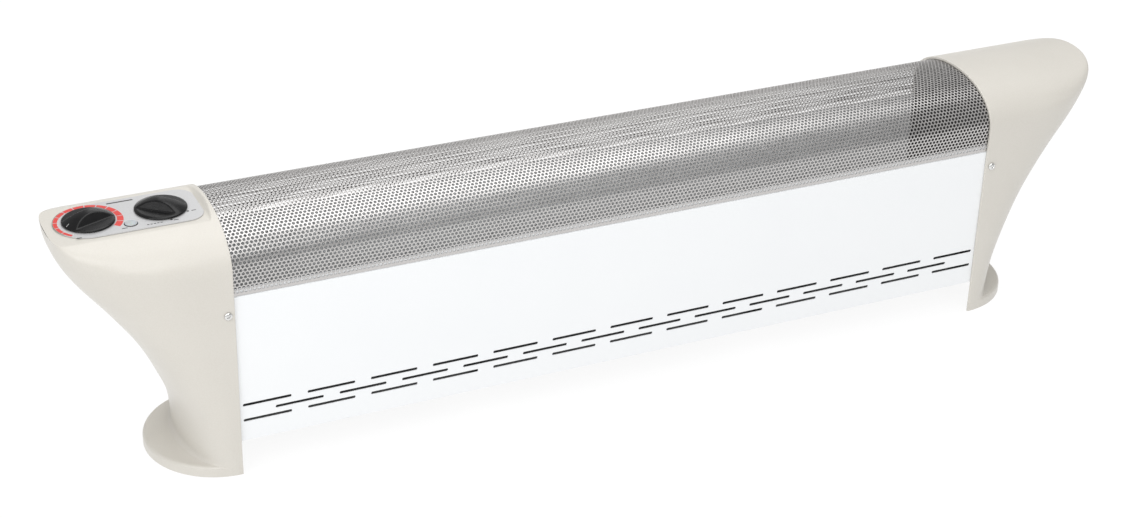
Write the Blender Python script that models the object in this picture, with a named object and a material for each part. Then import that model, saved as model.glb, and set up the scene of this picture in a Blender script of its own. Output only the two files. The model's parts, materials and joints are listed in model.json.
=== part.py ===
"""Free-standing electric baseboard heater.

+X runs along the heater, -Y is the front and +Z is up. The origin is on the floor
under the middle. Every length is in metres.
"""

import math

import bmesh
import bpy
from mathutils import Matrix, Vector

# Body
BODY_HALF = 0.400
HALF_DEPTH = 0.073
SPRING_Z = 0.212
DOME_RISE = 0.0432
DOME_POWER = 2.1
DOME_ANGLES = (0, 14, 27, 39, 50.5, 61.5, 71, 80.5, 90)
GAP = 0.0003
SHEET = 0.0008
TUCK = 0.010
GRILLE_TUCK = 0.0027
GRILLE_INSET = 0.0028
GRILLE_LOW_Z = 0.188
PANEL_LOW_Z = 0.035
HEM_INNER_Y = 0.055

# Inlet slots
SLOT_LENGTH = 0.047
SLOT_HEIGHT = 0.0034
SLOT_PITCH = 0.0622
SLOT_ROWS = ((0.0730, 13), (0.0646, 12), (0.0566, 13))

# End caps: reach beyond the body at each height, and squareness of the plan
REACH_KNOTS = (
    (0.010, 0.0420),
    (0.050, 0.0452),
    (0.090, 0.0594),
    (0.130, 0.0784),
    (0.170, 0.1053),
    (0.205, 0.1315),
    (0.232, 0.1452),
    (0.2552, 0.1485),
)
LIP_LENGTH = 0.011
LIP_LENGTH_LOW = 0.004
LIP_FULL_Z = 0.14
PLAN_POWER_LOW = 2.0
PLAN_POWER_HIGH = 3.2
SHOULDER_EASE = 0.012
CAP_WALL = 0.0024
NOSE_WALL = 0.0034
FOOT_HEIGHT = 0.011
FACET_Z = 0.2500
FACET_OUTER_RISE = (0.0016, 0.0078)
FACET_INNER_RISE = (0.0030, 0.0053)

# Controls
THERMOSTAT_X = -0.508
SELECTOR_X = -0.4425
FASCIA_Z = FACET_Z + GAP
FASCIA_THICKNESS = 0.0009
FASCIA_LEFT_X = -0.5390
FASCIA_RIGHT_X = -0.4081
FASCIA_HALF = 0.0315
FASCIA_CORNER = 0.016
KNOB_Z = 0.2518
KNOB_RADIUS = 0.0238
KNOB_RIM = 0.0010
KNOB_DOME = 0.0085
KNOB_FACE = 0.0020
HANDLE_FOOT = 0.0106
HANDLE_SLOPE = math.radians(50)
THERMOSTAT_ANGLE = math.radians(21)
SELECTOR_ANGLE = math.radians(-39)
SHAFT_RADIUS = 0.0029
BUSHING_RADIUS = 0.0046
PILOT_POS = (-0.4745, -0.0185)
PILOT_RADIUS = 0.0056
CORD_POS = (-0.4155, 0.040)

# Heating elements
ROD_RADIUS = 0.004
ROD_END = 0.428
ELEMENT_HEIGHTS = {"upper": 0.117, "lower": 0.082}
FIN_HALF_Y = 0.027
FIN_HALF_Z = 0.015
FIN_THICKNESS = 0.001
FIN_COUNT = 24
FIN_SPAN = 0.700
BUSH_RADIUS = 0.007
PLATE = 0.001
BULKHEAD_HALF = 0.0680
SHIELD_Y = 0.046
SHIELD_FOOT = 0.0384
SHIELD_TOP = 0.122
TIP_SWITCH_Y = -0.035
SCREW_X = 0.4065
CLIPPED_TUCK = 0.0060
CLIPPED_Z = 0.084
SCREW_Z = 0.171


def clear_scene():
    for old in list(bpy.data.objects):
        bpy.data.objects.remove(old, do_unlink=True)


def make_material(name, colour, roughness, metallic=0.0):
    material = bpy.data.materials.new(name)
    material.use_nodes = True
    shader = material.node_tree.nodes["Principled BSDF"]
    shader.inputs["Base Color"].default_value = (*colour, 1.0)
    shader.inputs["Roughness"].default_value = roughness
    shader.inputs["Metallic"].default_value = metallic
    return material


COLOURS = {
    "cap_plastic": ((0.80, 0.78, 0.72), 0.45),
    "white_paint": ((0.92, 0.93, 0.93), 0.40),
    "chrome_wire": ((0.62, 0.62, 0.62), 0.25, 1.0),
    "steel": ((0.55, 0.55, 0.54), 0.35, 1.0),
    "dark_steel": ((0.10, 0.10, 0.10), 0.50, 0.6),
    "fin_aluminium": ((0.75, 0.75, 0.76), 0.35, 1.0),
    "fascia_silver": ((0.62, 0.62, 0.64), 0.35, 0.4),
    "knob_black": ((0.012, 0.012, 0.013), 0.18),
    "lens_clear": ((0.85, 0.84, 0.82), 0.10),
    "ceramic": ((0.88, 0.86, 0.80), 0.35),
    "phenolic": ((0.05, 0.04, 0.035), 0.45),
    "copper": ((0.75, 0.38, 0.22), 0.30, 1.0),
    "wire_red": ((0.55, 0.04, 0.03), 0.45),
    "wire_white": ((0.80, 0.80, 0.78), 0.45),
    "plate_label": ((0.70, 0.69, 0.66), 0.40, 0.2),
    "bushing_black": ((0.02, 0.02, 0.02), 0.55),
}


def link(name, mesh, finish, smooth=True):
    """A named object with its own material."""
    obj = bpy.data.objects.new(name, mesh)
    bpy.context.scene.collection.objects.link(obj)
    mesh.materials.clear()
    mesh.materials.append(make_material(name + "_" + finish, *COLOURS[finish]))
    if smooth:
        mesh.shade_smooth()
        mesh.set_sharp_from_angle(angle=math.radians(35))
    return obj


def mesh_from(bm, name="shape"):
    """A mesh with its loose edges removed and its faces turned outwards."""
    bmesh.ops.remove_doubles(bm, verts=bm.verts, dist=1e-6)
    loose = [edge for edge in bm.edges if not edge.link_faces]
    bmesh.ops.delete(bm, geom=loose, context="EDGES")
    bmesh.ops.recalc_face_normals(bm, faces=bm.faces)
    if bm.calc_volume(signed=True) < 0:
        bmesh.ops.reverse_faces(bm, faces=bm.faces)
    mesh = bpy.data.meshes.new(name)
    bm.to_mesh(mesh)
    bm.free()
    return mesh


def box_mesh(low, high):
    bm = bmesh.new()
    size = [b - a for a, b in zip(low, high)]
    centre = [(a + b) / 2 for a, b in zip(low, high)]
    matrix = Matrix.Translation(centre) @ Matrix.Diagonal((*size, 1.0))
    bmesh.ops.create_cube(bm, size=1.0, matrix=matrix)
    return mesh_from(bm)


def turned_mesh(profile, axis, origin, segments=16):
    """A solid turned from (radius, distance) points about an axis through the origin given.

    A profile that starts and ends on the axis is a plain solid. One that doesn't is a ring.
    """
    turn = Vector((0, 0, 1)).rotation_difference(Vector(axis)).to_matrix().to_4x4()
    place = Matrix.Translation(origin) @ turn
    bm = bmesh.new()
    rings = []
    for step in range(segments):
        angle = 2 * math.pi * step / segments
        spot = Vector((math.cos(angle), math.sin(angle), 0))
        rings.append([bm.verts.new(place @ (spot * r + Vector((0, 0, h)))) for r, h in profile])
    closed = profile[0][0] > 0
    count = len(profile)
    for step in range(segments):
        here, there = rings[step], rings[(step + 1) % segments]
        for k in range(count if closed else count - 1):
            n = (k + 1) % count
            bm.faces.new((here[k], there[k], there[n], here[n]))
    bmesh.ops.remove_doubles(bm, verts=bm.verts, dist=1e-7)
    return mesh_from(bm)


def rod_mesh(radius, axis, start, length, segments=16):
    profile = [(0, 0), (radius, 0), (radius, length), (0, length)]
    return turned_mesh(profile, axis, start, segments)


def prism_mesh(outline, axis, low, high):
    """An outline of (a, b) points extruded along X as (y, z), along Y as (x, z) or along Z as (x, y)."""
    bm = bmesh.new()
    rings = []
    for depth in (low, high):
        place = {
            "X": lambda a, b: (depth, a, b),
            "Y": lambda a, b: (a, depth, b),
            "Z": lambda a, b: (a, b, depth),
        }[axis]
        rings.append([bm.verts.new(place(a, b)) for a, b in outline])
    bm.faces.new(rings[0])
    bm.faces.new(rings[1][::-1])
    for k in range(len(outline)):
        n = (k + 1) % len(outline)
        bm.faces.new((rings[0][k], rings[0][n], rings[1][n], rings[1][k]))
    return mesh_from(bm)


def folded_sheet(path, thickness):
    """The closed outline of a sheet whose left side follows a path of (a, b) points."""
    points = [Vector(p) for p in path]
    normals = [Vector((-(q - p).y, (q - p).x)).normalized() for p, q in zip(points, points[1:])]
    other = []
    for k, point in enumerate(points):
        before = normals[max(k - 1, 0)]
        after = normals[min(k, len(normals) - 1)]
        middle = (before + after).normalized()
        other.append(point + middle * (thickness / middle.dot(after)))
    return [tuple(p) for p in points] + [tuple(p) for p in reversed(other)]


def combine(mesh, parts, operation):
    """The mesh with each of the parts cut from it, or joined to it."""
    base = bpy.data.objects.new("work", mesh)
    bpy.context.scene.collection.objects.link(base)
    helpers = []
    for part in parts:
        helper = bpy.data.objects.new("helper", part)
        bpy.context.scene.collection.objects.link(helper)
        modifier = base.modifiers.new("combine", "BOOLEAN")
        modifier.operation = operation
        modifier.object = helper
        helpers.append(helper)
    graph = bpy.context.evaluated_depsgraph_get()
    result = bpy.data.meshes.new_from_object(base.evaluated_get(graph))
    for obj in helpers + [base]:
        bpy.data.objects.remove(obj, do_unlink=True)
    return result


def cut(mesh, *parts):
    return combine(mesh, parts, "DIFFERENCE")


def join(mesh, *parts):
    return combine(mesh, parts, "UNION")


def curve_value(knots, at):
    """A smooth curve through (position, value) knots."""
    xs = [k[0] for k in knots]
    ys = [k[1] for k in knots]
    last = len(knots) - 1
    slopes = []
    for k in range(last + 1):
        a, b = max(k - 1, 0), min(k + 1, last)
        slopes.append((ys[b] - ys[a]) / (xs[b] - xs[a]))
    at = min(max(at, xs[0]), xs[-1])
    k = max(i for i in range(last) if xs[i] <= at)
    width = xs[k + 1] - xs[k]
    t = (at - xs[k]) / width
    start = (2 * t**3 - 3 * t**2 + 1) * ys[k] + (t**3 - 2 * t**2 + t) * width * slopes[k]
    end = (3 * t**2 - 2 * t**3) * ys[k + 1] + (t**3 - t**2) * width * slopes[k + 1]
    return start + end


def arch_half(z, inset=0.0):
    """Half-depth of the arched cross-section at a height, for a skin inset by a distance."""
    half = HALF_DEPTH - inset
    if z <= SPRING_Z:
        return half
    share = min((z - SPRING_Z) / (DOME_RISE - inset), 1.0)
    return half * max(1 - share**DOME_POWER, 0.0) ** (1 / DOME_POWER)


def dome_levels(inset):
    return [SPRING_Z + (DOME_RISE - inset) * math.sin(math.radians(angle)) for angle in DOME_ANGLES]


def arch_outline(inset, low_z):
    """The arched cross-section as (y, z) points, from the front foot over the top to the back."""
    half = HALF_DEPTH - inset
    front = [(-half, low_z)] + [(-arch_half(z, inset), z) for z in dome_levels(inset)]
    back = [(-y, z) for y, z in reversed(front[:-1])]
    return front + back


def plan_power(z):
    share = min(max(z / (SPRING_Z + DOME_RISE), 0.0), 1.0)
    return PLAN_POWER_LOW + (PLAN_POWER_HIGH - PLAN_POWER_LOW) * share


def lip_length(z):
    """How far a cap runs straight before its plan starts to curve: least down at the foot."""
    share = min(max(z / LIP_FULL_Z, 0.0), 1.0)
    return LIP_LENGTH_LOW + (LIP_LENGTH - LIP_LENGTH_LOW) * share


def soft_min(a, b, softness):
    """The smaller of two lengths, rounded where they meet."""
    if softness <= 0:
        return min(a, b)
    gap = max(softness - abs(a - b), 0.0) / softness
    return min(a, b) - gap * gap * softness / 4


def cap_facet(z, out, rise):
    """The height of a crown point once the flat for the controls is pressed into it."""
    slope = (rise[1] - out) / (rise[1] - rise[0])
    top = SPRING_Z + DOME_RISE
    return min(z, FACET_Z + max(0.0, min(slope, 1.0)) * (top - FACET_Z))


def cap_levels(inset, low_z):
    walls = [low_z, FOOT_HEIGHT, 0.022, 0.035, 0.055, 0.078, 0.100, 0.122, 0.145, 0.170, 0.193]
    return walls + dome_levels(inset)


def cap_ring(z, inset, nose_inset, lip, flat_top):
    """One level of an end cap: points from the front lip round the nose to the back lip."""
    length = lip_length(z)
    reach = curve_value(REACH_KNOTS, z) - nose_inset - length
    power = plan_power(z)
    full = HALF_DEPTH - inset
    dome = max(arch_half(z, inset), 1e-7)
    rise = FACET_INNER_RISE if inset else FACET_OUTER_RISE
    stops = [out * length / LIP_LENGTH for out in rise]
    front = [(out, dome) for out in (lip, *stops, length)]
    for angle in (14, 26, 37, 47, 56, 64, 72, 80, 90):
        turn = math.radians(angle)
        out = length + reach * math.sin(turn) ** (2 / power)
        side = full * max(math.cos(turn), 1e-5) ** (2 / power)
        ease = min(SHOULDER_EASE, (out - length) / 2, 1.5 * (full - dome))
        front.append((out, soft_min(dome, side, ease) if angle < 90 else 0.0))
    if z >= SPRING_Z + DOME_RISE - inset - 1e-6:
        front = [(out, 0.0) for out, _ in front]
    ring = [(out, -y) for out, y in front] + [(out, y) for out, y in reversed(front[:-1])]
    if not flat_top:
        return [(out, y, z) for out, y in ring]
    return [(out, y, cap_facet(z + inset, out, rise) - inset) for out, y in ring]


def cap_body(side, inset=0.0, nose_inset=0.0, lip=0.0, low_z=0.0):
    """A closed end-cap body. The left one has the flat for the controls."""
    bm = bmesh.new()
    rings = []
    for z in cap_levels(inset, low_z):
        ring = cap_ring(z, inset, nose_inset, lip, flat_top=side < 0)
        rings.append([bm.verts.new((side * (BODY_HALF + out), y, h)) for out, y, h in ring])
    for below, above in zip(rings, rings[1:]):
        for k in range(len(below) - 1):
            bm.faces.new((below[k], below[k + 1], above[k + 1], above[k]))
    bm.faces.new(rings[0])
    bm.faces.new([ring[0] for ring in rings] + [ring[-1] for ring in reversed(rings)])
    bmesh.ops.remove_doubles(bm, verts=bm.verts, dist=2e-6)
    bmesh.ops.dissolve_degenerate(bm, edges=bm.edges, dist=1e-6)
    return mesh_from(bm)


def foot_body(side, levels, start=0.0, segments=22):
    """Half a disc, turned from (radius, z) levels, on the outer side of the body's end."""
    bm = bmesh.new()
    rings = []
    for radius, z in levels:
        ring = [bm.verts.new((side * (BODY_HALF + start), -radius, z))]
        for k in range(segments + 1):
            angle = math.pi * k / segments
            spot = (side * (BODY_HALF + radius * math.sin(angle)), -radius * math.cos(angle), z)
            ring.append(bm.verts.new(spot))
        ring.append(bm.verts.new((side * (BODY_HALF + start), radius, z)))
        rings.append(ring)
    for below, above in zip(rings, rings[1:]):
        for k in range(len(below)):
            n = (k + 1) % len(below)
            bm.faces.new((below[k], below[n], above[n], above[k]))
    bm.faces.new(rings[0])
    bm.faces.new(rings[-1])
    return mesh_from(bm)


def end_cap(side):
    """A moulded shell with a half-disc foot, open towards the body and underneath."""
    outer = cap_body(side)
    rim = (
        (HALF_DEPTH, 0.0),
        (HALF_DEPTH, 0.0075),
        (HALF_DEPTH - 0.001, 0.0099),
        (HALF_DEPTH - 0.0035, FOOT_HEIGHT),
    )
    shell = join(outer, foot_body(side, rim))
    cord_x, cord_z = CORD_POS
    if side < 0:
        seat = rod_mesh(0.0080, (0, 1, 0), (cord_x, 0.050, cord_z), HALF_DEPTH - 0.050)
        shell = join(shell, seat)
    hollow = cap_body(side, CAP_WALL, NOSE_WALL, lip=-0.010, low_z=-0.010)
    inner = HALF_DEPTH - CAP_WALL
    foot_rim = ((inner, -0.010), (inner, 0.0075), (inner - 0.001, 0.0086))
    foot_hollow = foot_body(side, foot_rim, start=-0.010)
    shell = cut(shell, hollow, foot_hollow)
    holes = [
        rod_mesh(0.0019, (0, front, 0), (side * SCREW_X, front * 0.060, SCREW_Z), 0.020, 10)
        for front in (-1, 1)
    ]
    if side < 0:
        below = FACET_Z - 0.010
        for x in (THERMOSTAT_X, SELECTOR_X):
            holes.append(rod_mesh(BUSHING_RADIUS + 0.0004, (0, 0, 1), (x, 0, below), 0.020))
        holes.append(rod_mesh(0.0043, (0, 0, 1), (*PILOT_POS, below), 0.020))
        holes.append(rod_mesh(0.0050, (0, 1, 0), (cord_x, 0.055, cord_z), 0.030))
    name = "left_end_cap" if side < 0 else "right_end_cap"
    link(name, cut(shell, *holes), "cap_plastic")


def perforated_grille():
    """The arched outlet grille, tucked under both caps."""
    outer = arch_outline(GRILLE_INSET, GRILLE_LOW_Z)
    inner = arch_outline(GRILLE_INSET + SHEET, GRILLE_LOW_Z)
    end = BODY_HALF + GRILLE_TUCK
    link("perforated_grille", prism_mesh(outer + inner[::-1], "X", -end, end), "chrome_wire")


def slot_mesh(x, z, front):
    """A cutter for one inlet slot with rounded ends."""
    straight = (SLOT_LENGTH - SLOT_HEIGHT) / 2
    radius = SLOT_HEIGHT / 2
    outline = []
    for end in (1, -1):
        for angle in (-60, 0, 60):
            turn = math.radians(angle)
            across = end * (straight + radius * math.cos(turn))
            outline.append((x + across, z + end * radius * math.sin(turn)))
    return prism_mesh(outline, "Y", front * (HALF_DEPTH - 0.010), front * HALF_DEPTH)


def merge_meshes(meshes):
    bm = bmesh.new()
    for mesh in meshes:
        bm.from_mesh(mesh)
    merged = bpy.data.meshes.new("merged")
    bm.to_mesh(merged)
    bm.free()
    return merged


def side_panel(name, front):
    """A flat steel panel: lap behind the grille, inlet slots, and a hem turned in at the foot."""
    face = HALF_DEPTH - GRILLE_INSET
    lap = face - SHEET - GAP
    top = GRILLE_LOW_Z - GAP
    path = [
        (HEM_INNER_Y, PANEL_LOW_Z),
        (face, PANEL_LOW_Z),
        (face, top - 0.0010),
        (lap, top),
        (lap, top + 0.0070),
    ]
    outline = [(front * y, z) for y, z in folded_sheet(path, SHEET)]
    end = BODY_HALF + TUCK
    panel = prism_mesh(outline, "X", -end, end)
    slots = []
    for z, count in SLOT_ROWS:
        for k in range(count):
            slots.append(slot_mesh((k - (count - 1) / 2) * SLOT_PITCH, z, front))
    panel = cut(panel, merge_meshes(slots))
    trims = []
    for side in (-1, 1):
        low, high = sorted((side * (BODY_HALF - 0.0006), side * (end + 0.005)))
        y_low, y_high = sorted((front * 0.040, front * (face - SHEET - 0.0002)))
        trims.append(box_mesh((low, y_low, 0.030), (high, y_high, 0.060)))
        low, high = sorted((side * (BODY_HALF + CLIPPED_TUCK), side * (end + 0.005)))
        trims.append(box_mesh((low, -0.080, 0.030), (high, 0.080, CLIPPED_Z)))
        hole = rod_mesh(0.0019, (0, front, 0), (side * SCREW_X, front * 0.060, SCREW_Z), 0.020, 10)
        trims.append(hole)
    link(name, cut(panel, *trims), "white_paint")


def bulkhead(side):
    """A pressed steel end plate with a flange that the caps screw to and a ledge under the hems."""
    name = "left_bulkhead" if side < 0 else "right_bulkhead"
    inset = HALF_DEPTH - BULKHEAD_HALF
    flange_low = 0.044
    outer = arch_outline(inset, flange_low)
    inner = arch_outline(inset + PLATE, flange_low - 0.010)
    end = BODY_HALF + TUCK
    x_face, x_back, x_end = (side * v for v in (BODY_HALF, BODY_HALF + PLATE, end))
    pan = prism_mesh(outer, "X", *sorted((x_face, x_end)))
    pan = cut(pan, prism_mesh(inner, "X", *sorted((x_back, side * (end + 0.010)))))
    web_low = 0.0336
    web = HEM_INNER_Y - 0.0008
    low, high = sorted((x_face, x_back))
    skirt = box_mesh((low, -web, web_low), (high, web, flange_low + 0.002))
    ledge_half, corner = 0.0665, 0.004
    ledge_x = BODY_HALF - 0.010
    ledge_outline = [
        (side * BODY_HALF + side * PLATE, -ledge_half),
        (side * (ledge_x + corner), -ledge_half),
        (side * ledge_x, -ledge_half + corner),
        (side * ledge_x, ledge_half - corner),
        (side * (ledge_x + corner), ledge_half),
        (side * BODY_HALF + side * PLATE, ledge_half),
    ]
    ledge = prism_mesh(ledge_outline, "Z", web_low, web_low + PLATE)
    plate = join(pan, skirt, ledge)
    start = side * (BODY_HALF - 0.010)
    holes = [
        rod_mesh(BUSH_RADIUS + GAP, (side, 0, 0), (start, 0, z), 0.030, 12)
        for z in ELEMENT_HEIGHTS.values()
    ]
    for front in (-1, 1):
        spot = (side * SCREW_X, front * 0.050, SCREW_Z)
        holes.append(rod_mesh(0.0019, (0, front, 0), spot, 0.030, 10))
    crown_low, crown_high = sorted((side * (BODY_HALF + GRILLE_TUCK), side * (end + 0.010)))
    holes.append(box_mesh((crown_low, -0.080, 0.222), (crown_high, 0.080, 0.260)))
    if side < 0:
        holes.append(rod_mesh(0.0088, (side, 0, 0), (start, 0.030, 0.205), 0.030))
    link(name, cut(plate, *holes), "steel")


def finned_element(name, z):
    """A sheathed rod with pressed-on fins, lofted from rings of six points."""
    turns = [math.pi / 3 * k for k in range(6)]
    rod = [(ROD_RADIUS * math.cos(turn), ROD_RADIUS * math.sin(turn)) for turn in turns]
    fin = [
        (FIN_HALF_Y, 0),
        (FIN_HALF_Y, FIN_HALF_Z),
        (-FIN_HALF_Y, FIN_HALF_Z),
        (-FIN_HALF_Y, 0),
        (-FIN_HALF_Y, -FIN_HALF_Z),
        (FIN_HALF_Y, -FIN_HALF_Z),
    ]
    stations = [(-ROD_END, rod)]
    pitch = FIN_SPAN / (FIN_COUNT - 1)
    for k in range(FIN_COUNT):
        x = -FIN_SPAN / 2 + k * pitch
        left, right = x - FIN_THICKNESS / 2, x + FIN_THICKNESS / 2
        stations += [(left, rod), (left, fin), (right, fin), (right, rod)]
    stations.append((ROD_END, rod))
    bm = bmesh.new()
    rings = [[bm.verts.new((x, y, z + h)) for y, h in ring] for x, ring in stations]
    for here, there in zip(rings, rings[1:]):
        for k in range(6):
            n = (k + 1) % 6
            bm.faces.new((here[k], here[n], there[n], there[k]))
    bm.faces.new(rings[0])
    bm.faces.new(rings[-1])
    link(name, mesh_from(bm), "fin_aluminium", smooth=False)


def insulator(name, side, z):
    """A ceramic bush that carries an element rod through an end plate."""
    bore = ROD_RADIUS + GAP
    start = BODY_HALF - 0.006
    flange = BODY_HALF + PLATE + GAP - start
    profile = [
        (bore, 0),
        (BUSH_RADIUS, 0),
        (BUSH_RADIUS, flange),
        (0.0100, flange),
        (0.0100, flange + 0.005),
        (bore, flange + 0.005),
    ]
    link(name, turned_mesh(profile, (side, 0, 0), (side * start, 0, z), 12), "ceramic")


def hex_nut(name, centre, axis, across, bore, height, finish="steel"):
    """A nut whose base is at the centre given."""
    profile = [(0, 0), (across / 2 / math.cos(math.pi / 6), 0)]
    profile += [(profile[1][0], height), (0, height)]
    blank = turned_mesh(profile, axis, centre, 6)
    hole = rod_mesh(bore, axis, Vector(centre) - Vector(axis) * 0.002, height + 0.004, 12)
    link(name, cut(blank, hole), finish)


def element_fixings():
    for level, z in ELEMENT_HEIGHTS.items():
        for side, word in ((-1, "left"), (1, "right")):
            insulator(f"{level}_{word}_insulator", side, z)
            name = f"{level}_{word}_terminal_nut"
            hex_nut(name, (side * 0.4195, 0, z), (side, 0, 0), 0.013, ROD_RADIUS + GAP, 0.005)
    low, high = ELEMENT_HEIGHTS["lower"] - 0.010, ELEMENT_HEIGHTS["upper"] + 0.010
    strip = box_mesh((0.4170, -0.006, low), (0.4182, 0.006, high))
    holes = [
        rod_mesh(ROD_RADIUS + GAP, (1, 0, 0), (0.410, 0, z), 0.020, 12)
        for z in ELEMENT_HEIGHTS.values()
    ]
    link("element_jumper", cut(strip, *holes), "copper")


def element_support(name, x):
    """A plate that holds both rods in the middle of their span."""
    half = SHIELD_Y - SHEET - GAP
    bottom, top = ELEMENT_HEIGHTS["lower"] - 0.016, SHIELD_TOP - 0.002
    web = box_mesh((x - SHEET / 2, -half, bottom), (x + SHEET / 2, half, top + 0.010))
    flanges = []
    for front in (-1, 1):
        low, high = sorted((front * (half - SHEET), front * half))
        flanges.append(box_mesh((x - SHEET / 2, low, bottom), (x + 0.012, high, top)))
    holes = [rod_mesh(0.0048, (1, 0, 0), (x - 0.010, 0, z), 0.040, 12) for z in ELEMENT_HEIGHTS.values()]
    link(name, cut(join(web, *flanges), *holes), "steel")


def heat_shield(name, front):
    """A sheet that keeps the outer panel cool, with its top edge turned outwards."""
    path = [
        (SHIELD_Y - 0.007, SHIELD_FOOT),
        (SHIELD_Y, SHIELD_FOOT),
        (SHIELD_Y, SHIELD_TOP),
        (SHIELD_Y + 0.010, SHIELD_TOP),
    ]
    outline = [(front * y, z) for y, z in folded_sheet(path, SHEET)]
    end = BODY_HALF - 0.0006
    link(name, prism_mesh(outline, "X", -end, end), "steel")


def cross_brace(name, x):
    """A strip that ties the two hems together at the foot."""
    z = PANEL_LOW_Z + SHEET + GAP
    flat = box_mesh((x - 0.009, -0.066, z), (x + 0.009, 0.066, z + 0.001))
    rib = box_mesh((x - 0.002, -0.034, z + 0.0005), (x + 0.002, 0.034, z + 0.004))
    link(name, join(flat, rib), "steel", smooth=False)


def rounded_outline(low, high, left_radius, right_radius, steps=6):
    """A rectangle of (x, y) points with its corners rounded, each end with its own radius."""
    corners = (
        (high[0] - right_radius, high[1] - right_radius, right_radius, 0),
        (low[0] + left_radius, high[1] - left_radius, left_radius, 90),
        (low[0] + left_radius, low[1] + left_radius, left_radius, 180),
        (high[0] - right_radius, low[1] + right_radius, right_radius, 270),
    )
    points = []
    for x, y, radius, start in corners:
        for k in range(steps + 1):
            angle = math.radians(start + 90 * k / steps)
            points.append((x + radius * math.cos(angle), y + radius * math.sin(angle)))
    return points


def control_fascia():
    outline = rounded_outline(
        (FASCIA_LEFT_X, -FASCIA_HALF),
        (FASCIA_RIGHT_X, FASCIA_HALF),
        FASCIA_HALF - 0.0005,
        FASCIA_CORNER,
    )
    plate = prism_mesh(outline, "Z", FASCIA_Z, FASCIA_Z + FASCIA_THICKNESS)
    holes = [
        rod_mesh(0.0082, (0, 0, 1), (x, 0, FASCIA_Z - 0.002), 0.006)
        for x in (THERMOSTAT_X, SELECTOR_X)
    ]
    holes.append(rod_mesh(0.0043, (0, 0, 1), (*PILOT_POS, FASCIA_Z - 0.002), 0.006))
    link("control_fascia", cut(plate, *holes), "fascia_silver")


def control_knob(name, x, angle):
    """A domed knob cut away on both sides of its handle, turned about its own axis."""
    profile = [(0, 0), (KNOB_RADIUS, 0), (KNOB_RADIUS, KNOB_RIM)]
    for share in (0.95, 0.87, 0.76, 0.62, 0.44, 0.22, 0.0):
        profile.append((KNOB_RADIUS * share, KNOB_RIM + KNOB_DOME * (1 - share**2)))
    body = turned_mesh(profile, (0, 0, 1), (0, 0, 0), 32)
    high = KNOB_RIM + KNOB_DOME + 0.002
    wide = KNOB_RADIUS + 0.010
    flank_top = HANDLE_FOOT - (high - KNOB_FACE) / math.tan(HANDLE_SLOPE)
    cutaway = ((HANDLE_FOOT, KNOB_FACE), (wide, KNOB_FACE), (wide, high), (flank_top, high))
    sides = [
        prism_mesh([(side * y, z) for y, z in cutaway], "X", -wide, wide)
        for side in (-1, 1)
    ]
    socket = rod_mesh(SHAFT_RADIUS + GAP, (0, 0, 1), (0, 0, -0.002), 0.0095)
    recess = rod_mesh(0.0088, (0, 0, 1), (0, 0, -0.002), 0.0038)
    obj = link(name, cut(body, *sides, recess, socket), "knob_black")
    obj.location = (x, 0, KNOB_Z)
    obj.rotation_euler = (0, 0, angle)
    return obj


def control_shaft(name, x, knob):
    length = 0.028
    start = KNOB_Z + 0.0070 - length
    obj = link(name, rod_mesh(SHAFT_RADIUS, (0, 0, 1), (0, 0, start - KNOB_Z), length, 12), "steel")
    obj.parent = knob
    obj.location = (0, 0, 0)
    return obj


def switch_bore(x):
    return rod_mesh(SHAFT_RADIUS + GAP, (0, 0, 1), (x, 0, 0.228), 0.030, 12)


def switch_tabs(x, spots, top):
    return [
        box_mesh((x + a - 0.003, b - 0.0004, top - 0.010), (x + a + 0.003, b + 0.0004, top + 0.001))
        for a, b in spots
    ]


def switch_body(name, x, case, spots, low, finish):
    """A control's case with its bushing, terminal tabs and bore for the shaft."""
    bushing = rod_mesh(BUSHING_RADIUS, (0, 0, 1), (x, 0, low + 0.005), 0.2530 - low - 0.005)
    body = join(case, bushing, *switch_tabs(x, spots, low))
    link(name, cut(body, switch_bore(x)), finish)


def controls():
    thermostat_low, selector_low = 0.2240, 0.2260
    case_top = FACET_Z - CAP_WALL - 0.0006
    case = box_mesh((THERMOSTAT_X - 0.015, -0.014, thermostat_low), (THERMOSTAT_X + 0.015, 0.014, case_top))
    switch_body(
        "thermostat_body", THERMOSTAT_X, case, ((-0.009, -0.009), (0.009, 0.009)), thermostat_low, "ceramic"
    )
    case = rod_mesh(0.0135, (0, 0, 1), (SELECTOR_X, 0, selector_low), case_top - selector_low, 12)
    tabs = ((0.0, -0.009), (-0.008, 0.004), (0.008, 0.004))
    switch_body("selector_body", SELECTOR_X, case, tabs, selector_low, "phenolic")
    for word, x in (("thermostat", THERMOSTAT_X), ("selector", SELECTOR_X)):
        angle = THERMOSTAT_ANGLE if word == "thermostat" else SELECTOR_ANGLE
        knob = control_knob(f"{word}_knob", x, angle)
        control_shaft(f"{word}_shaft", x, knob)
        hex_nut(f"{word}_nut", (x, 0, FACET_Z + GAP), (0, 0, 1), 0.013, BUSHING_RADIUS + 0.0005, 0.0020)


def pilot_light():
    top = FASCIA_Z + FASCIA_THICKNESS + GAP
    dome = [(0, 0.0026), (0.0025, 0.0024), (0.0045, 0.0016), (PILOT_RADIUS, 0.0004), (PILOT_RADIUS, 0)]
    profile = dome + [(0.0039, 0), (0.0039, -0.0070), (0, -0.0070)]
    link("pilot_lens", turned_mesh(profile[::-1], (0, 0, 1), (*PILOT_POS, top)), "lens_clear")
    lamp = rod_mesh(0.0042, (0, 0, 1), (*PILOT_POS, top - 0.0200), 0.0127, 12)
    link("pilot_lamp", lamp, "phenolic")


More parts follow.
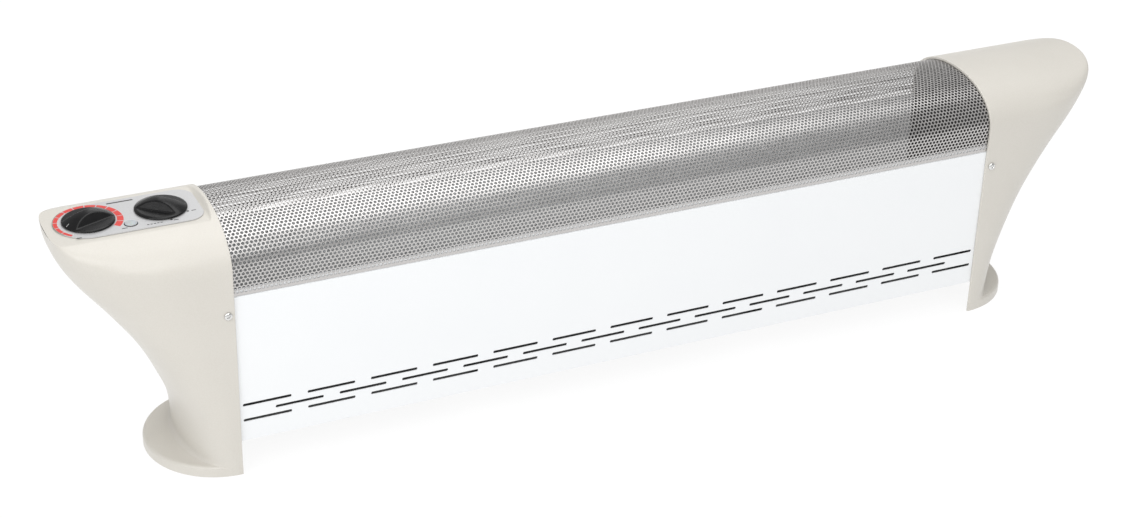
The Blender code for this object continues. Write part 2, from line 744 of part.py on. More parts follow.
def thermal_cutout():
    """A disc thermostat set in a hole of the left end plate."""
    y, z = 0.030, 0.205
    outer = -BODY_HALF - PLATE - GAP
    cup = rod_mesh(0.0083, (-1, 0, 0), (-BODY_HALF + 0.002, y, z), 0.0110)
    ears = box_mesh((outer - 0.0008, y - 0.015, z - 0.005), (outer, y + 0.015, z + 0.005))
    tabs = [
        box_mesh(
            (outer - 0.0150, y + side * 0.005 - 0.0004, z - 0.003),
            (outer - 0.007, y + side * 0.005 + 0.0004, z + 0.003),
        )
        for side in (-1, 1)
    ]
    link("thermal_cutout", join(cup, ears, *tabs), "phenolic")


def terminal_block():
    """A three-way screw terminal block on the left end plate."""
    outer = -BODY_HALF - PLATE - GAP
    block = box_mesh((outer - 0.014, -0.052, 0.150), (outer, -0.022, 0.166))
    wells = []
    for k in range(3):
        y = -0.0465 + k * 0.0095
        wells.append(rod_mesh(0.0031, (1, 0, 0), (outer - 0.020, y, 0.158), 0.014, 12))
        wells.append(box_mesh((outer - 0.011, y - 0.0022, 0.145), (outer - 0.006, y + 0.0022, 0.153)))
    link("terminal_block", cut(block, *wells), "ceramic")


def cord_bushing():
    """The strain-relief bushing for the supply cord, low on the left cap's back."""
    seat = HALF_DEPTH + GAP - 0.0600
    profile = [
        (0.0030, 0),
        (0.0047, 0),
        (0.0047, seat),
        (0.0072, seat),
        (0.0062, seat + 0.0022),
        (0.0030, seat + 0.0022),
    ]
    x, z = CORD_POS
    link("cord_bushing", turned_mesh(profile, (0, 1, 0), (x, 0.0600, z)), "bushing_black")


def tip_switch():
    """A tip-over switch: an open housing, a pin, and a pendulum that swings front to back."""
    outer = -BODY_HALF - PLATE - GAP
    y, low, high = TIP_SWITCH_Y, 0.050, 0.086
    housing = box_mesh((outer - 0.020, y - 0.0130, low), (outer, y + 0.0130, high))
    corner = (outer - 0.0015, y + 0.0115, high - 0.0015)
    inside = box_mesh((outer - 0.030, y - 0.0115, low + 0.0015), corner)
    pin_z = high - 0.007
    pin_hole = rod_mesh(0.0013, (-1, 0, 0), (outer + 0.004, y, pin_z), 0.010, 10)
    link("tip_switch_housing", cut(housing, inside, pin_hole), "phenolic")
    pin = rod_mesh(0.0010, (-1, 0, 0), (outer - 0.0004, y, pin_z), 0.0165, 10)
    link("tip_pivot_pin", pin, "steel")
    pivot = bpy.data.objects.new("tip_pivot", None)
    pivot.location = (outer, y, pin_z)
    bpy.context.scene.collection.objects.link(pivot)
    eye = rod_mesh(0.0030, (-1, 0, 0), (-0.0060, 0, 0), 0.0060, 12)
    arm = box_mesh((-0.0105, -0.0012, -0.0170), (-0.0075, 0.0012, -0.0015))
    bob = rod_mesh(0.0045, (-1, 0, 0), (-0.0045, 0, -0.0180), 0.0100, 12)
    pendulum = cut(join(eye, arm, bob), rod_mesh(0.0013, (-1, 0, 0), (0.010, 0, 0), 0.030, 10))
    obj = link("tip_pendulum", pendulum, "steel")
    obj.parent = pivot


def rating_plate():
    """A blank plate on the flared end of the left cap."""
    columns = 6
    y_low, y_high = 0.012, 0.052
    band_low, band_high = 0.145, 0.170
    bm = bmesh.new()
    rings = []
    for z, lift in ((0.147, 0.0005), (0.147, 0.0013), (0.168, 0.0013), (0.168, 0.0005)):
        share = (z - band_low) / (band_high - band_low)
        low, high = (curve_value(REACH_KNOTS, level) - LIP_LENGTH for level in (band_low, band_high))
        reach = low + (high - low) * share
        power = plan_power(z)
        ring = []
        for column in range(columns + 1):
            y = y_low + (y_high - y_low) * column / columns
            out = LIP_LENGTH + reach * (1 - (y / HALF_DEPTH) ** power) ** (1 / power)
            ring.append(bm.verts.new((-BODY_HALF - out - lift, y, z - lift)))
        rings.append(ring)
    for k, ring in enumerate(rings):
        other = rings[(k + 1) % 4]
        for column in range(columns):
            bm.faces.new((ring[column], ring[column + 1], other[column + 1], other[column]))
    for column in (0, columns):
        bm.faces.new([ring[column] for ring in rings])
    link("rating_plate", mesh_from(bm), "plate_label")


def cap_screw(name, side, front):
    """A pan-head screw, turned about Y."""
    head = HALF_DEPTH + GAP
    profile = [
        (0, 0.0022),
        (0.0020, 0.0020),
        (0.0034, 0.0013),
        (0.0039, 0.0004),
        (0.0039, 0),
        (0.0015, 0),
        (0.0015, -0.0110),
        (0, -0.0120),
    ]
    mesh = turned_mesh(profile[::-1], (0, front, 0), (side * SCREW_X, front * head, SCREW_Z), 12)
    link(name, mesh, "steel")


def lead_wire(name, points, finish):
    """A stiff insulated lead, bent through a few points."""
    curve = bpy.data.curves.new(name, "CURVE")
    curve.dimensions = "3D"
    curve.bevel_depth = 0.0011
    curve.bevel_resolution = 1
    curve.resolution_u = 3
    curve.use_fill_caps = True
    spline = curve.splines.new("BEZIER")
    spline.bezier_points.add(len(points) - 1)
    for bezier, point in zip(spline.bezier_points, points):
        bezier.co = point
        bezier.handle_left_type = bezier.handle_right_type = "AUTO"
    obj = bpy.data.objects.new(name, curve)
    bpy.context.scene.collection.objects.link(obj)
    curve.materials.append(make_material(name + "_" + finish, *COLOURS[finish]))


def wiring():
    lead_wire(
        "supply_lead",
        [
            (-0.4080, -0.0370, 0.1430),
            (-0.4140, -0.0360, 0.1280),
            (-0.4300, -0.0260, 0.1080),
            (-0.4350, -0.0080, 0.0900),
            (-0.4320, 0.0130, 0.0680),
            (-0.4270, 0.0330, 0.0520),
            (-0.4180, 0.0500, 0.0415),
            (CORD_POS[0], 0.0640, CORD_POS[1]),
        ],
        "wire_white",
    )
    lead_wire(
        "thermostat_lead",
        [
            (-0.4250, -0.0465, 0.1580),
            (-0.4400, -0.0440, 0.1640),
            (-0.4700, -0.0330, 0.1840),
            (-0.5050, -0.0150, 0.2000),
            (-0.5170, -0.0090, 0.2122),
        ],
        "wire_red",
    )
    lead_wire(
        "selector_lead",
        [
            (-0.4990, 0.0090, 0.2122),
            (-0.4920, 0.0080, 0.2060),
            (-0.4750, 0.0060, 0.2040),
            (-0.4580, 0.0040, 0.2080),
            (-0.4505, 0.0040, 0.2143),
        ],
        "wire_red",
    )
    lead_wire(
        "element_lead",
        [
            (-0.4345, 0.0040, 0.2143),
            (-0.4320, 0.0040, 0.1900),
            (-0.4315, 0.0020, 0.1500),
            (-0.4313, 0.0, 0.1170),
        ],
        "wire_white",
    )


def main():
    clear_scene()
    for side in (-1, 1):
        end_cap(side)
        bulkhead(side)
    perforated_grille()
    side_panel("front_panel", -1)
    side_panel("back_panel", 1)
    control_fascia()
    controls()
    pilot_light()
    for level, z in ELEMENT_HEIGHTS.items():
        finned_element(f"{level}_element", z)
    element_fixings()
    heat_shield("front_heat_shield", -1)
    heat_shield("back_heat_shield", 1)
    pitch = FIN_SPAN / (FIN_COUNT - 1)
    for word, steps in (("left", -5), ("right", 5)):
        element_support(f"{word}_element_support", steps * pitch - 0.006)
        cross_brace(f"{word}_cross_brace", steps * pitch)
    thermal_cutout()
    terminal_block()
    cord_bushing()
    tip_switch()
    rating_plate()
    for side, word in ((-1, "left"), (1, "right")):
        for front, face in ((-1, "front"), (1, "back")):
            cap_screw(f"{face}_{word}_cap_screw", side, front)
    wiring()


main()
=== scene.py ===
"""The looks of the baseboard heater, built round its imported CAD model.

+X runs along the heater, -Y is the front and +Z is up. Lengths are in metres.
"""

import json
import math

import bmesh
import bpy
import numpy as np
from mathutils import Matrix, Vector


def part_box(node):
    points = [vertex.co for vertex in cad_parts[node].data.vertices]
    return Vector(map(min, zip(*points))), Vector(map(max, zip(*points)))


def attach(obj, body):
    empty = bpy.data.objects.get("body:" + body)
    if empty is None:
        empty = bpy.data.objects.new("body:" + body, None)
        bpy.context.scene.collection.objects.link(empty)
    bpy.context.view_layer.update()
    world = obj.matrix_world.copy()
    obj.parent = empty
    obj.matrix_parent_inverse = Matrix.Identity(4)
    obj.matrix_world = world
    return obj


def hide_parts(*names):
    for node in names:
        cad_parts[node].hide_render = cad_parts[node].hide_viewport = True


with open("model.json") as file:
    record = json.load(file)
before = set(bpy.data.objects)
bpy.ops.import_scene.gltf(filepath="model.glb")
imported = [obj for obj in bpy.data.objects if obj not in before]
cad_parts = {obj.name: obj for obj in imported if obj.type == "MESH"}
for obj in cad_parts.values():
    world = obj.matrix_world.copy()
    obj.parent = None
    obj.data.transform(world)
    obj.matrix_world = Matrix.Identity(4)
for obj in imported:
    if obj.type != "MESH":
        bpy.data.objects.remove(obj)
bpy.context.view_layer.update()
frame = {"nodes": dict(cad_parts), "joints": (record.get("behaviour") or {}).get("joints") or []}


def centre_of(node):
    """The middle of a CAD node's box."""
    low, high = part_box(node)
    return [(a + b) / 2 for a, b in zip(low, high)]


# Places and sizes taken from the CAD model
CAP_LOW, CAP_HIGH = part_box("right_end_cap")
BODY_HALF = CAP_LOW.x
HALF_DEPTH = CAP_HIGH.y
TOP = CAP_HIGH.z
GRILLE_LOW, GRILLE_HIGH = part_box("perforated_grille")
FASCIA_LOW, FASCIA_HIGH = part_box("control_fascia")
LENS_LOW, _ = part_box("pilot_lens")
LENS_CENTRE = centre_of("pilot_lens")[:2]
JOINTS = {joint["name"]: joint for joint in frame["joints"]}
DIAL_CENTRES = {name: JOINTS[f"{name}_turn"]["pos_m"][:2] for name in ("thermostat", "selector")}

# End caps
SPRING_Z = 0.212
DOME_RISE = TOP - SPRING_Z
DOME_POWER = 2.1
REACH_KNOTS = (
    (0.010, 0.0420),
    (0.050, 0.0452),
    (0.090, 0.0594),
    (0.130, 0.0784),
    (0.170, 0.1053),
    (0.205, 0.1315),
    (0.232, 0.1452),
    (0.2552, 0.1481),
)
LIP_LENGTH = 0.011
LIP_LENGTH_LOW = 0.004
LIP_FULL_Z = 0.14
LIP_ROUNDING = 0.0006
FIRST_COLUMN = 0.0007
COLUMN_STEP = 0.0006
PLAN_POWER_LOW = 2.0
PLAN_POWER_HIGH = 3.2
SHOULDER_EASE = 0.012
CAP_WALL = 0.0024
NOSE_WALL = 0.0034
PLAN_STEPS = 40
FOOT_HEIGHT = 0.011
FOOT_FILLET = 0.0060
FOOT_RIM_RADIUS = 0.0036
FOOT_WALL_STEPS = 72
HOLLOW_LIP = -0.010
CORD_SEAT_RADIUS = 0.0080
CORD_SEAT_Y = 0.050
CORD_HOLE_RADIUS = 0.0050
SHAFT_HOLE_RADIUS = 0.0050
LENS_HOLE_RADIUS = 0.0043
SCREW_HOLE_RADIUS = 0.0019
FACET_Z = FASCIA_LOW.z - 0.0003
FACET_OUTER_RISE = (0.0010, 0.0082)
FACET_INNER_RISE = (0.0030, 0.0053)
FACET_SOFTNESS = 0.0004

# Grille
SHEET = 0.0005
HOLE_PITCH = 0.0040
HOLE_RADIUS = 0.00155
HOLE_MARGIN = 0.0015
GRILLE_BAYS = 5

# Knobs
KNOB_RADIUS = 0.0238
KNOB_RIM = 0.0010
KNOB_DOME = 0.0085
KNOB_FACE = 0.0020
HANDLE_FOOT = 0.0106
HANDLE_SLOPE = math.tan(math.radians(50))
HANDLE_ANGLES = {"thermostat": 21.0, "selector": -39.0}
KNOB_SOFTNESS = 0.0008
KNOB_BORE = 0.0085
KNOB_SEGMENTS = 240

# Control face
FASCIA_CORNER = 0.016
FASCIA_SHAFT_HOLE = 0.0082
PRINT_THICKNESS = 0.00006
PRINT_Z = FASCIA_HIGH.z
SCALE_OUTER = 0.0308
SCALE_INNER_START = 0.0278
SCALE_INNER_NARROWING = 0.0032
SCALE_SEGMENTS = 13
SCALE_START = 228.0
SCALE_SWEEP = -270.0
SCALE_GAP = 1.7

# Fastenings and elements
SCREW_HEAD_RADIUS = 0.0039
SCREW_CORE_RADIUS = 0.0012
SCREW_THREAD_RADIUS = 0.0015
SCREW_LENGTH = 0.0118
SCREW_PITCH = 0.00085
SCREW_THREADS = 12
SCREW_TURNS = {"left": 27, "right": 62}
FIN_SPAN = 0.700
FIN_PITCH = 0.0062
FIN_CORNER = 0.003
FIN_HALF_THICKNESS = 0.00025

# Camera
CAMERA_LENS = 71.0616
CAMERA_PLACE = (-0.87137, -1.74351, 1.16920)
CAMERA_RIGHT = (0.90872345, -0.41670129, 0.02411886)
CAMERA_UP = (0.18021624, 0.44381549, 0.87780973)
CAMERA_AHEAD = (0.37648877, 0.79333968, -0.47840189)

# Light: each lamp's name, place, aim, size and power
SURROUND_STRENGTH = 0.44
FLOOR_GREY = 0.12
FLOOR_GLOW = 0.90
LAMPS = (
    ("key_light", (-0.6, -1.9, 2.2), (0.0, 0.0, 0.12), 1.8, 25.0),
    ("top_light", (0.3, 0.3, 2.4), (0.0, 0.0, 0.2), 2.0, 26.0),
    ("back_light", (0.8, 2.2, 1.4), (0.0, 0.0, 0.15), 1.6, 5.0),
    ("side_light", (-1.9, -1.1, 1.4), (-0.45, 0.0, 0.1), 1.2, 14.0),
)


# ---------------------------------------------------------------- materials


class Nodes:
    """A Principled material whose inputs are driven by procedural textures in metres."""

    def __init__(self, name, colour, roughness, metallic=0.0):
        self.material = bpy.data.materials.new(name)
        self.material.use_nodes = True
        self.tree = self.material.node_tree
        self.shader = self.tree.nodes["Principled BSDF"]
        self.shader.inputs["Base Color"].default_value = (*colour, 1.0)
        self.shader.inputs["Roughness"].default_value = roughness
        self.shader.inputs["Metallic"].default_value = metallic
        self.colour = colour
        self.bumps = []
        self.place = self.add("ShaderNodeTexCoord").outputs["Object"]

    def add(self, kind, **settings):
        node = self.tree.nodes.new(kind)
        for key, value in settings.items():
            setattr(node, key, value)
        return node

    def stretched(self, scale):
        node = self.add("ShaderNodeMapping")
        node.inputs["Scale"].default_value = scale
        self.tree.links.new(self.place, node.inputs["Vector"])
        return node.outputs["Vector"]

    def noise(self, size, detail=2.0, stretch=(1, 1, 1)):
        """Noise with features about size metres across."""
        node = self.add("ShaderNodeTexNoise")
        node.inputs["Scale"].default_value = 1 / size
        node.inputs["Detail"].default_value = detail
        self.tree.links.new(self.stretched(stretch), node.inputs["Vector"])
        return node.outputs["Fac"]

    def ranged(self, value, low, high, start=0.25, end=0.75):
        node = self.add("ShaderNodeMapRange")
        node.inputs["From Min"].default_value = start
        node.inputs["From Max"].default_value = end
        node.inputs["To Min"].default_value = low
        node.inputs["To Max"].default_value = high
        self.tree.links.new(value, node.inputs["Value"])
        return node.outputs["Result"]

    def tint(self, value, other, high=1.0, start=0.3, end=0.7):
        """Mixes another colour into the base colour where a texture is high."""
        mix = self.add("ShaderNodeMix", data_type="RGBA")
        socket = self.shader.inputs["Base Color"]
        if socket.is_linked:
            self.tree.links.new(socket.links[0].from_socket, mix.inputs["A"])
        else:
            mix.inputs["A"].default_value = (*self.colour, 1.0)
        mix.inputs["B"].default_value = (*other, 1.0)
        self.tree.links.new(self.ranged(value, 0.0, high, start, end), mix.inputs["Factor"])
        self.tree.links.new(mix.outputs["Result"], socket)
        return self

    def rough(self, value, low, high):
        self.tree.links.new(self.ranged(value, low, high), self.shader.inputs["Roughness"])
        return self

    def bump(self, value, height):
        """Raises the surface by a height in metres where a texture is high."""
        node = self.add("ShaderNodeBump")
        node.inputs["Strength"].default_value = 1.0
        node.inputs["Distance"].default_value = height
        self.tree.links.new(value, node.inputs["Height"])
        if self.bumps:
            self.tree.links.new(self.bumps[-1].outputs["Normal"], node.inputs["Normal"])
        self.tree.links.new(node.outputs["Normal"], self.shader.inputs["Normal"])
        self.bumps.append(node)
        return self

    def set(self, socket, value):
        self.shader.inputs[socket].default_value = value
        return self


def cap_plastic():
    """Warm off-white moulding with a fine spark-eroded grain."""
    m = Nodes("cap_plastic", (0.660, 0.632, 0.575), 0.42)
    m.tint(m.noise(0.060, 3), (0.630, 0.602, 0.545), high=0.6)
    m.tint(m.noise(0.0012, 2), (0.710, 0.685, 0.635), high=0.4)
    m.rough(m.noise(0.020, 4), 0.36, 0.50)
    m.bump(m.noise(0.0007, 2), 0.000025)
    m.bump(m.noise(0.030, 1), 0.00006)
    return m.set("Coat Weight", 0.35).set("Coat Roughness", 0.32).material


def panel_paint():
    """Bright white stove enamel with a faint orange peel."""
    m = Nodes("panel_paint", (0.90, 0.915, 0.925), 0.34)
    m.tint(m.noise(0.090, 2), (0.88, 0.895, 0.91), high=0.6)
    m.rough(m.noise(0.025, 4), 0.28, 0.42)
    m.bump(m.noise(0.0022, 2), 0.000018)
    return m.set("Coat Weight", 0.2).set("Coat Roughness", 0.25).material


def grille_steel():
    """Bright plated steel. Its colour is even, and its polish isn't."""
    m = Nodes("grille_steel", (0.585, 0.570, 0.560), 0.30, 0.9)
    m.rough(m.noise(0.012, 3, (0.2, 1, 1)), 0.26, 0.42)
    return m.material


def galvanised():
    """Galvanised sheet with a spangle of faintly different greys."""
    m = Nodes("galvanised", (0.56, 0.57, 0.58), 0.42, 0.75)
    cells = m.add("ShaderNodeTexVoronoi", feature="F1")
    cells.inputs["Scale"].default_value = 220
    m.tree.links.new(m.place, cells.inputs["Vector"])
    m.tint(cells.outputs["Color"], (0.66, 0.67, 0.69), start=0.2, end=0.9)
    m.rough(m.noise(0.010, 3), 0.34, 0.55)
    return m.material


# Near-black paint on the bulkheads and heat shields is painted shade: it darkens the inside seen
# through the grille holes and panel slots. Its faint mottle is random tone.
def painted_shade_dark():
    m = Nodes("painted_shade_dark", (0.045, 0.045, 0.047), 0.55)
    m.tint(m.noise(0.008, 3), (0.070, 0.068, 0.066))
    m.rough(m.noise(0.003, 3), 0.45, 0.68)
    m.bump(m.noise(0.0015, 3), 0.00002)
    return m.material


def bright_fastener():
    m = Nodes("bright_fastener", (0.80, 0.80, 0.79), 0.25, 1.0)
    m.tint(m.noise(0.0010, 3), (0.66, 0.66, 0.64), high=0.6)
    m.rough(m.noise(0.0006, 3), 0.16, 0.38)
    return m.material


def fin_aluminium():
    m = Nodes("fin_aluminium", (0.78, 0.785, 0.79), 0.32, 0.95)
    m.tint(m.noise(0.015, 3), (0.68, 0.68, 0.68), high=0.7)
    m.rough(m.noise(0.004, 3, (1, 0.2, 1)), 0.25, 0.48)
    return m.material


def fascia_silver():
    """Silver-printed face with a fine metallic fleck."""
    m = Nodes("fascia_silver", (0.58, 0.58, 0.585), 0.42, 0.35)
    m.tint(m.noise(0.0006, 2), (0.67, 0.67, 0.675), high=0.8)
    m.rough(m.noise(0.008, 3), 0.34, 0.50)
    m.bump(m.noise(0.0005, 2), 0.000008)
    return m.set("Coat Weight", 0.25).set("Coat Roughness", 0.2).material


def knob_black():
    """Glossy black moulding with a little dust-fine haze."""
    m = Nodes("knob_black", (0.005, 0.005, 0.0055), 0.22)
    m.tint(m.noise(0.010, 3), (0.009, 0.009, 0.0095), high=0.8)
    m.rough(m.noise(0.004, 4), 0.18, 0.30)
    m.bump(m.noise(0.009, 1), 0.00003)
    return m.set("Specular IOR Level", 0.28).material


def print_ink(name, colour, roughness=0.4):
    m = Nodes(name, colour, roughness)
    darker = tuple(0.86 * c for c in colour)
    m.tint(m.noise(0.0008, 3), darker, high=0.7)
    m.rough(m.noise(0.003, 3), roughness - 0.07, roughness + 0.08)
    return m.material


def milky_lens():
    """A pale translucent window."""
    m = Nodes("milky_lens", (0.50, 0.505, 0.51), 0.14)
    m.tint(m.noise(0.004, 2), (0.45, 0.455, 0.46))
    m.rough(m.noise(0.002, 2), 0.10, 0.22)
    return m.set("Subsurface Weight", 0.15).set("Coat Weight", 0.5).material


def ceramic():
    m = Nodes("ceramic", (0.80, 0.775, 0.71), 0.5)
    m.tint(m.noise(0.003, 4), (0.72, 0.69, 0.62), high=0.8)
    m.rough(m.noise(0.002, 3), 0.42, 0.65)
    m.bump(m.noise(0.0008, 3), 0.00003)
    return m.material


def phenolic():
    m = Nodes("phenolic", (0.035, 0.028, 0.024), 0.4)
    m.tint(m.noise(0.002, 4), (0.060, 0.046, 0.036), high=0.8)
    m.rough(m.noise(0.003, 3), 0.30, 0.50)
    m.bump(m.noise(0.0009, 3), 0.00002)
    return m.material


def copper():
    m = Nodes("copper", (0.72, 0.36, 0.20), 0.3, 1.0)
    m.tint(m.noise(0.004, 4), (0.42, 0.20, 0.12), high=0.7)
    m.rough(m.noise(0.002, 3), 0.22, 0.45)
    return m.material


def rubber_black():
    m = Nodes("rubber_black", (0.018, 0.018, 0.018), 0.6)
    m.tint(m.noise(0.003, 3), (0.032, 0.031, 0.030))
    m.rough(m.noise(0.002, 3), 0.52, 0.72)
    m.bump(m.noise(0.0006, 2), 0.00003)
    return m.material


def plate_aluminium():
    m = Nodes("plate_aluminium", (0.66, 0.66, 0.65), 0.34, 0.8)
    m.tint(m.noise(0.010, 3), (0.58, 0.58, 0.57), high=0.7)
    m.rough(m.noise(0.0015, 3, (1, 0.08, 1)), 0.26, 0.46)
    return m.material


def sleeving(name, colour):
    """Woven glass-fibre sleeving."""
    m = Nodes(name, colour, 0.6)
    weave = m.add("ShaderNodeTexWave", wave_type="BANDS", bands_direction="DIAGONAL")
    weave.inputs["Scale"].default_value = 900
    weave.inputs["Distortion"].default_value = 1.0
    m.tree.links.new(m.place, weave.inputs["Vector"])
    m.tint(weave.outputs["Fac"], tuple(0.6 * c for c in colour), high=0.8)
    m.bump(weave.outputs["Fac"], 0.00008)
    m.rough(m.noise(0.003, 2), 0.5, 0.7)
    return m.material


FINISHES = {
    "cap_plastic": cap_plastic(),
    "panel_paint": panel_paint(),
    "grille_steel": grille_steel(),
    "galvanised": galvanised(),
    "painted_shade_dark": painted_shade_dark(),
    "bright_fastener": bright_fastener(),
    "fin_aluminium": fin_aluminium(),
    "fascia_silver": fascia_silver(),
    "knob_black": knob_black(),
    "print_red": print_ink("print_red", (0.72, 0.060, 0.050)),
    "print_dark": print_ink("print_dark", (0.030, 0.030, 0.032)),
    "print_green": print_ink("print_green", (0.050, 0.150, 0.080)),
    "print_white": print_ink("print_white", (0.82, 0.82, 0.81)),
    "milky_lens": milky_lens(),
    "ceramic": ceramic(),
    "phenolic": phenolic(),
    "copper": copper(),
    "rubber_black": rubber_black(),
    "plate_aluminium": plate_aluminium(),
    "sleeving_white": sleeving("sleeving_white", (0.74, 0.73, 0.69)),
    "sleeving_red": sleeving("sleeving_red", (0.48, 0.035, 0.025)),
}


# ---------------------------------------------------------------- mesh tools


def smooth(mesh, angle=35):
    mesh.shade_smooth()
    mesh.set_sharp_from_angle(angle=math.radians(angle))
    return mesh


def piece(name, mesh, finish, body, replaces=(), angle=35):
    """A finished piece of the object, riding on a CAD body."""
    smooth(mesh, angle)
    obj = bpy.data.objects.new(name, mesh)
    bpy.context.scene.collection.objects.link(obj)
    mesh.materials.clear()
    mesh.materials.append(FINISHES[finish])
    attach(obj, body)
    if replaces:
        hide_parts(*replaces)
    return obj


def mesh_from(bm):
    bmesh.ops.remove_doubles(bm, verts=bm.verts, dist=1e-7)
    loose = [edge for edge in bm.edges if not edge.link_faces]
    bmesh.ops.delete(bm, geom=loose, context="EDGES")
    bmesh.ops.recalc_face_normals(bm, faces=bm.faces)
    if bm.calc_volume(signed=True) < 0:
        bmesh.ops.reverse_faces(bm, faces=bm.faces)
    mesh = bpy.data.meshes.new("shape")
    bm.to_mesh(mesh)
    bm.free()
    return mesh


def loft(rings, dist=1e-7):
    """Joins equal closed rings of points by quads, with the first and last ring filled."""
    bm = bmesh.new()
    rows = [[bm.verts.new(p) for p in ring] for ring in rings]
    count = len(rows[0])
    for here, there in zip(rows, rows[1:]):
        for k in range(count):
            n = (k + 1) % count
            bm.faces.new((here[k], here[n], there[n], there[k]))
    bm.faces.new(rows[0])
    bm.faces.new(rows[-1])
    bmesh.ops.remove_doubles(bm, verts=bm.verts, dist=dist)
    bmesh.ops.dissolve_degenerate(bm, edges=bm.edges, dist=1e-8)
    return mesh_from(bm)


def turned(profile, axis, origin, segments=48):
    """A solid turned from (radius, distance) points about an axis through the origin given."""
    turn = Vector((0, 0, 1)).rotation_difference(Vector(axis)).to_matrix().to_4x4()
    place = Matrix.Translation(origin) @ turn
    bm = bmesh.new()
    rings = []
    for step in range(segments):
        angle = 2 * math.pi * step / segments
        spot = Vector((math.cos(angle), math.sin(angle), 0))
        rings.append([bm.verts.new(place @ (spot * r + Vector((0, 0, h)))) for r, h in profile])
    count = len(profile)
    around = count if profile[0][0] > 0 else count - 1
    for step in range(segments):
        here, there = rings[step], rings[(step + 1) % segments]
        for k in range(around):
            n = (k + 1) % count
            bm.faces.new((here[k], there[k], there[n], here[n]))
    return mesh_from(bm)


def rod(radius, axis, start, length, segments=32):
    return turned([(0, 0), (radius, 0), (radius, length), (0, length)], axis, start, segments)


def prism(outline, axis, low, high):
    """An outline of (a, b) points extruded along X as (y, z), or along Z as (x, y)."""
    place = {
        "X": lambda a, b, depth: (depth, a, b),
        "Z": lambda a, b, depth: (a, b, depth),
    }[axis]
    return loft([[place(a, b, depth) for a, b in outline] for depth in (low, high)])


def box(low, high):
    outline = [(low[0], low[1]), (high[0], low[1]), (high[0], high[1]), (low[0], high[1])]
    return prism(outline, "Z", low[2], high[2])


def combine(mesh, parts, operation):
    """The mesh with each of the parts cut from it, or joined to it."""
    base = bpy.data.objects.new("work", mesh)
    bpy.context.scene.collection.objects.link(base)
    helpers = []
    for part in parts:
        helper = bpy.data.objects.new("helper", part)
        bpy.context.scene.collection.objects.link(helper)
        modifier = base.modifiers.new("combine", "BOOLEAN")
        modifier.operation = operation
        modifier.object = helper
        helpers.append(helper)
    graph = bpy.context.evaluated_depsgraph_get()
    result = bpy.data.meshes.new_from_object(base.evaluated_get(graph))
    for obj in helpers + [base]:
        bpy.data.objects.remove(obj, do_unlink=True)
    return result


def cut(mesh, *parts):
    return combine(mesh, parts, "DIFFERENCE")


def join(mesh, *parts):
    return combine(mesh, parts, "UNION")


def merged(meshes):
    """Several meshes as one, without joining their surfaces."""
    bm = bmesh.new()
    for mesh in meshes:
        bm.from_mesh(mesh)
    result = bpy.data.meshes.new("merged")
    bm.to_mesh(result)
    bm.free()
    return result


def soft_min(a, b, softness):
    """The smaller of two lengths, rounded where they meet."""
    if softness <= 0:
        return min(a, b)
    gap = max(softness - abs(a - b), 0.0) / softness
    return min(a, b) - gap * gap * softness / 4


# ---------------------------------------------------------------- end caps


def curve_value(knots, at):
    """A smooth curve through (position, value) knots."""
    xs = [k[0] for k in knots]
    ys = [k[1] for k in knots]
    last = len(knots) - 1
    slopes = []
    for k in range(last + 1):
        a, b = max(k - 1, 0), min(k + 1, last)
        slopes.append((ys[b] - ys[a]) / (xs[b] - xs[a]))
    at = min(max(at, xs[0]), xs[-1])
    k = max(i for i in range(last) if xs[i] <= at)
    width = xs[k + 1] - xs[k]
    t = (at - xs[k]) / width
    start = (2 * t**3 - 3 * t**2 + 1) * ys[k] + (t**3 - 2 * t**2 + t) * width * slopes[k]
    end = (3 * t**2 - 2 * t**3) * ys[k + 1] + (t**3 - t**2) * width * slopes[k + 1]
    return start + end


def plan_power(z):
    share = min(max(z / TOP, 0.0), 1.0)
    return PLAN_POWER_LOW + (PLAN_POWER_HIGH - PLAN_POWER_LOW) * share


def lip_length(z):
    """How far a cap runs straight before its plan starts to curve: least down at the foot."""
    share = min(max(z / LIP_FULL_Z, 0.0), 1.0)
    return LIP_LENGTH_LOW + (LIP_LENGTH - LIP_LENGTH_LOW) * share


def section(level, inset):
    """(half-depth, height) of the arched section. A level is a height, or minus a dome angle."""
    half = HALF_DEPTH - inset
    if level > 0:
        return half, level
    share = math.sin(math.radians(-level))
    width = half * max(1 - share**DOME_POWER, 0.0) ** (1 / DOME_POWER)
    return max(width, 1e-7), SPRING_Z + (DOME_RISE - inset) * share


def foot_flare(z):
    """The concave sweep from the wall into the top of the foot."""
    up = min(max(z - FOOT_HEIGHT, 0.0), FOOT_FILLET)
    return FOOT_FILLET - math.sqrt(max(FOOT_FILLET**2 - (FOOT_FILLET - up) ** 2, 0.0))


def cap_facet(z, out, rise):
    """The height of a crown point once the flat for the controls is pressed into it."""
    slope = (rise[1] - out) / (rise[1] - rise[0])
    slope = max(0.0, min(slope, 1.0))
    slope = slope * slope * (3 - 2 * slope)
    return soft_min(z, FACET_Z + slope * (TOP + 0.001 - FACET_Z), FACET_SOFTNESS)


def cap_columns(lip, length):
    """Distances from the lip to where the plan starts to curve, with the lip's own rounding."""
    rounded = [(0.0, LIP_ROUNDING), (0.00018, 0.00018), (LIP_ROUNDING, 0.0)]
    edge = [(lip, 0.0)] if lip < 0 else rounded
    scale = (length - FIRST_COLUMN) / (LIP_LENGTH - FIRST_COLUMN)
    columns = [(FIRST_COLUMN + COLUMN_STEP * k * scale, 0.0) for k in range(1, 17)]
    return edge + columns + [(length, 0.0)]


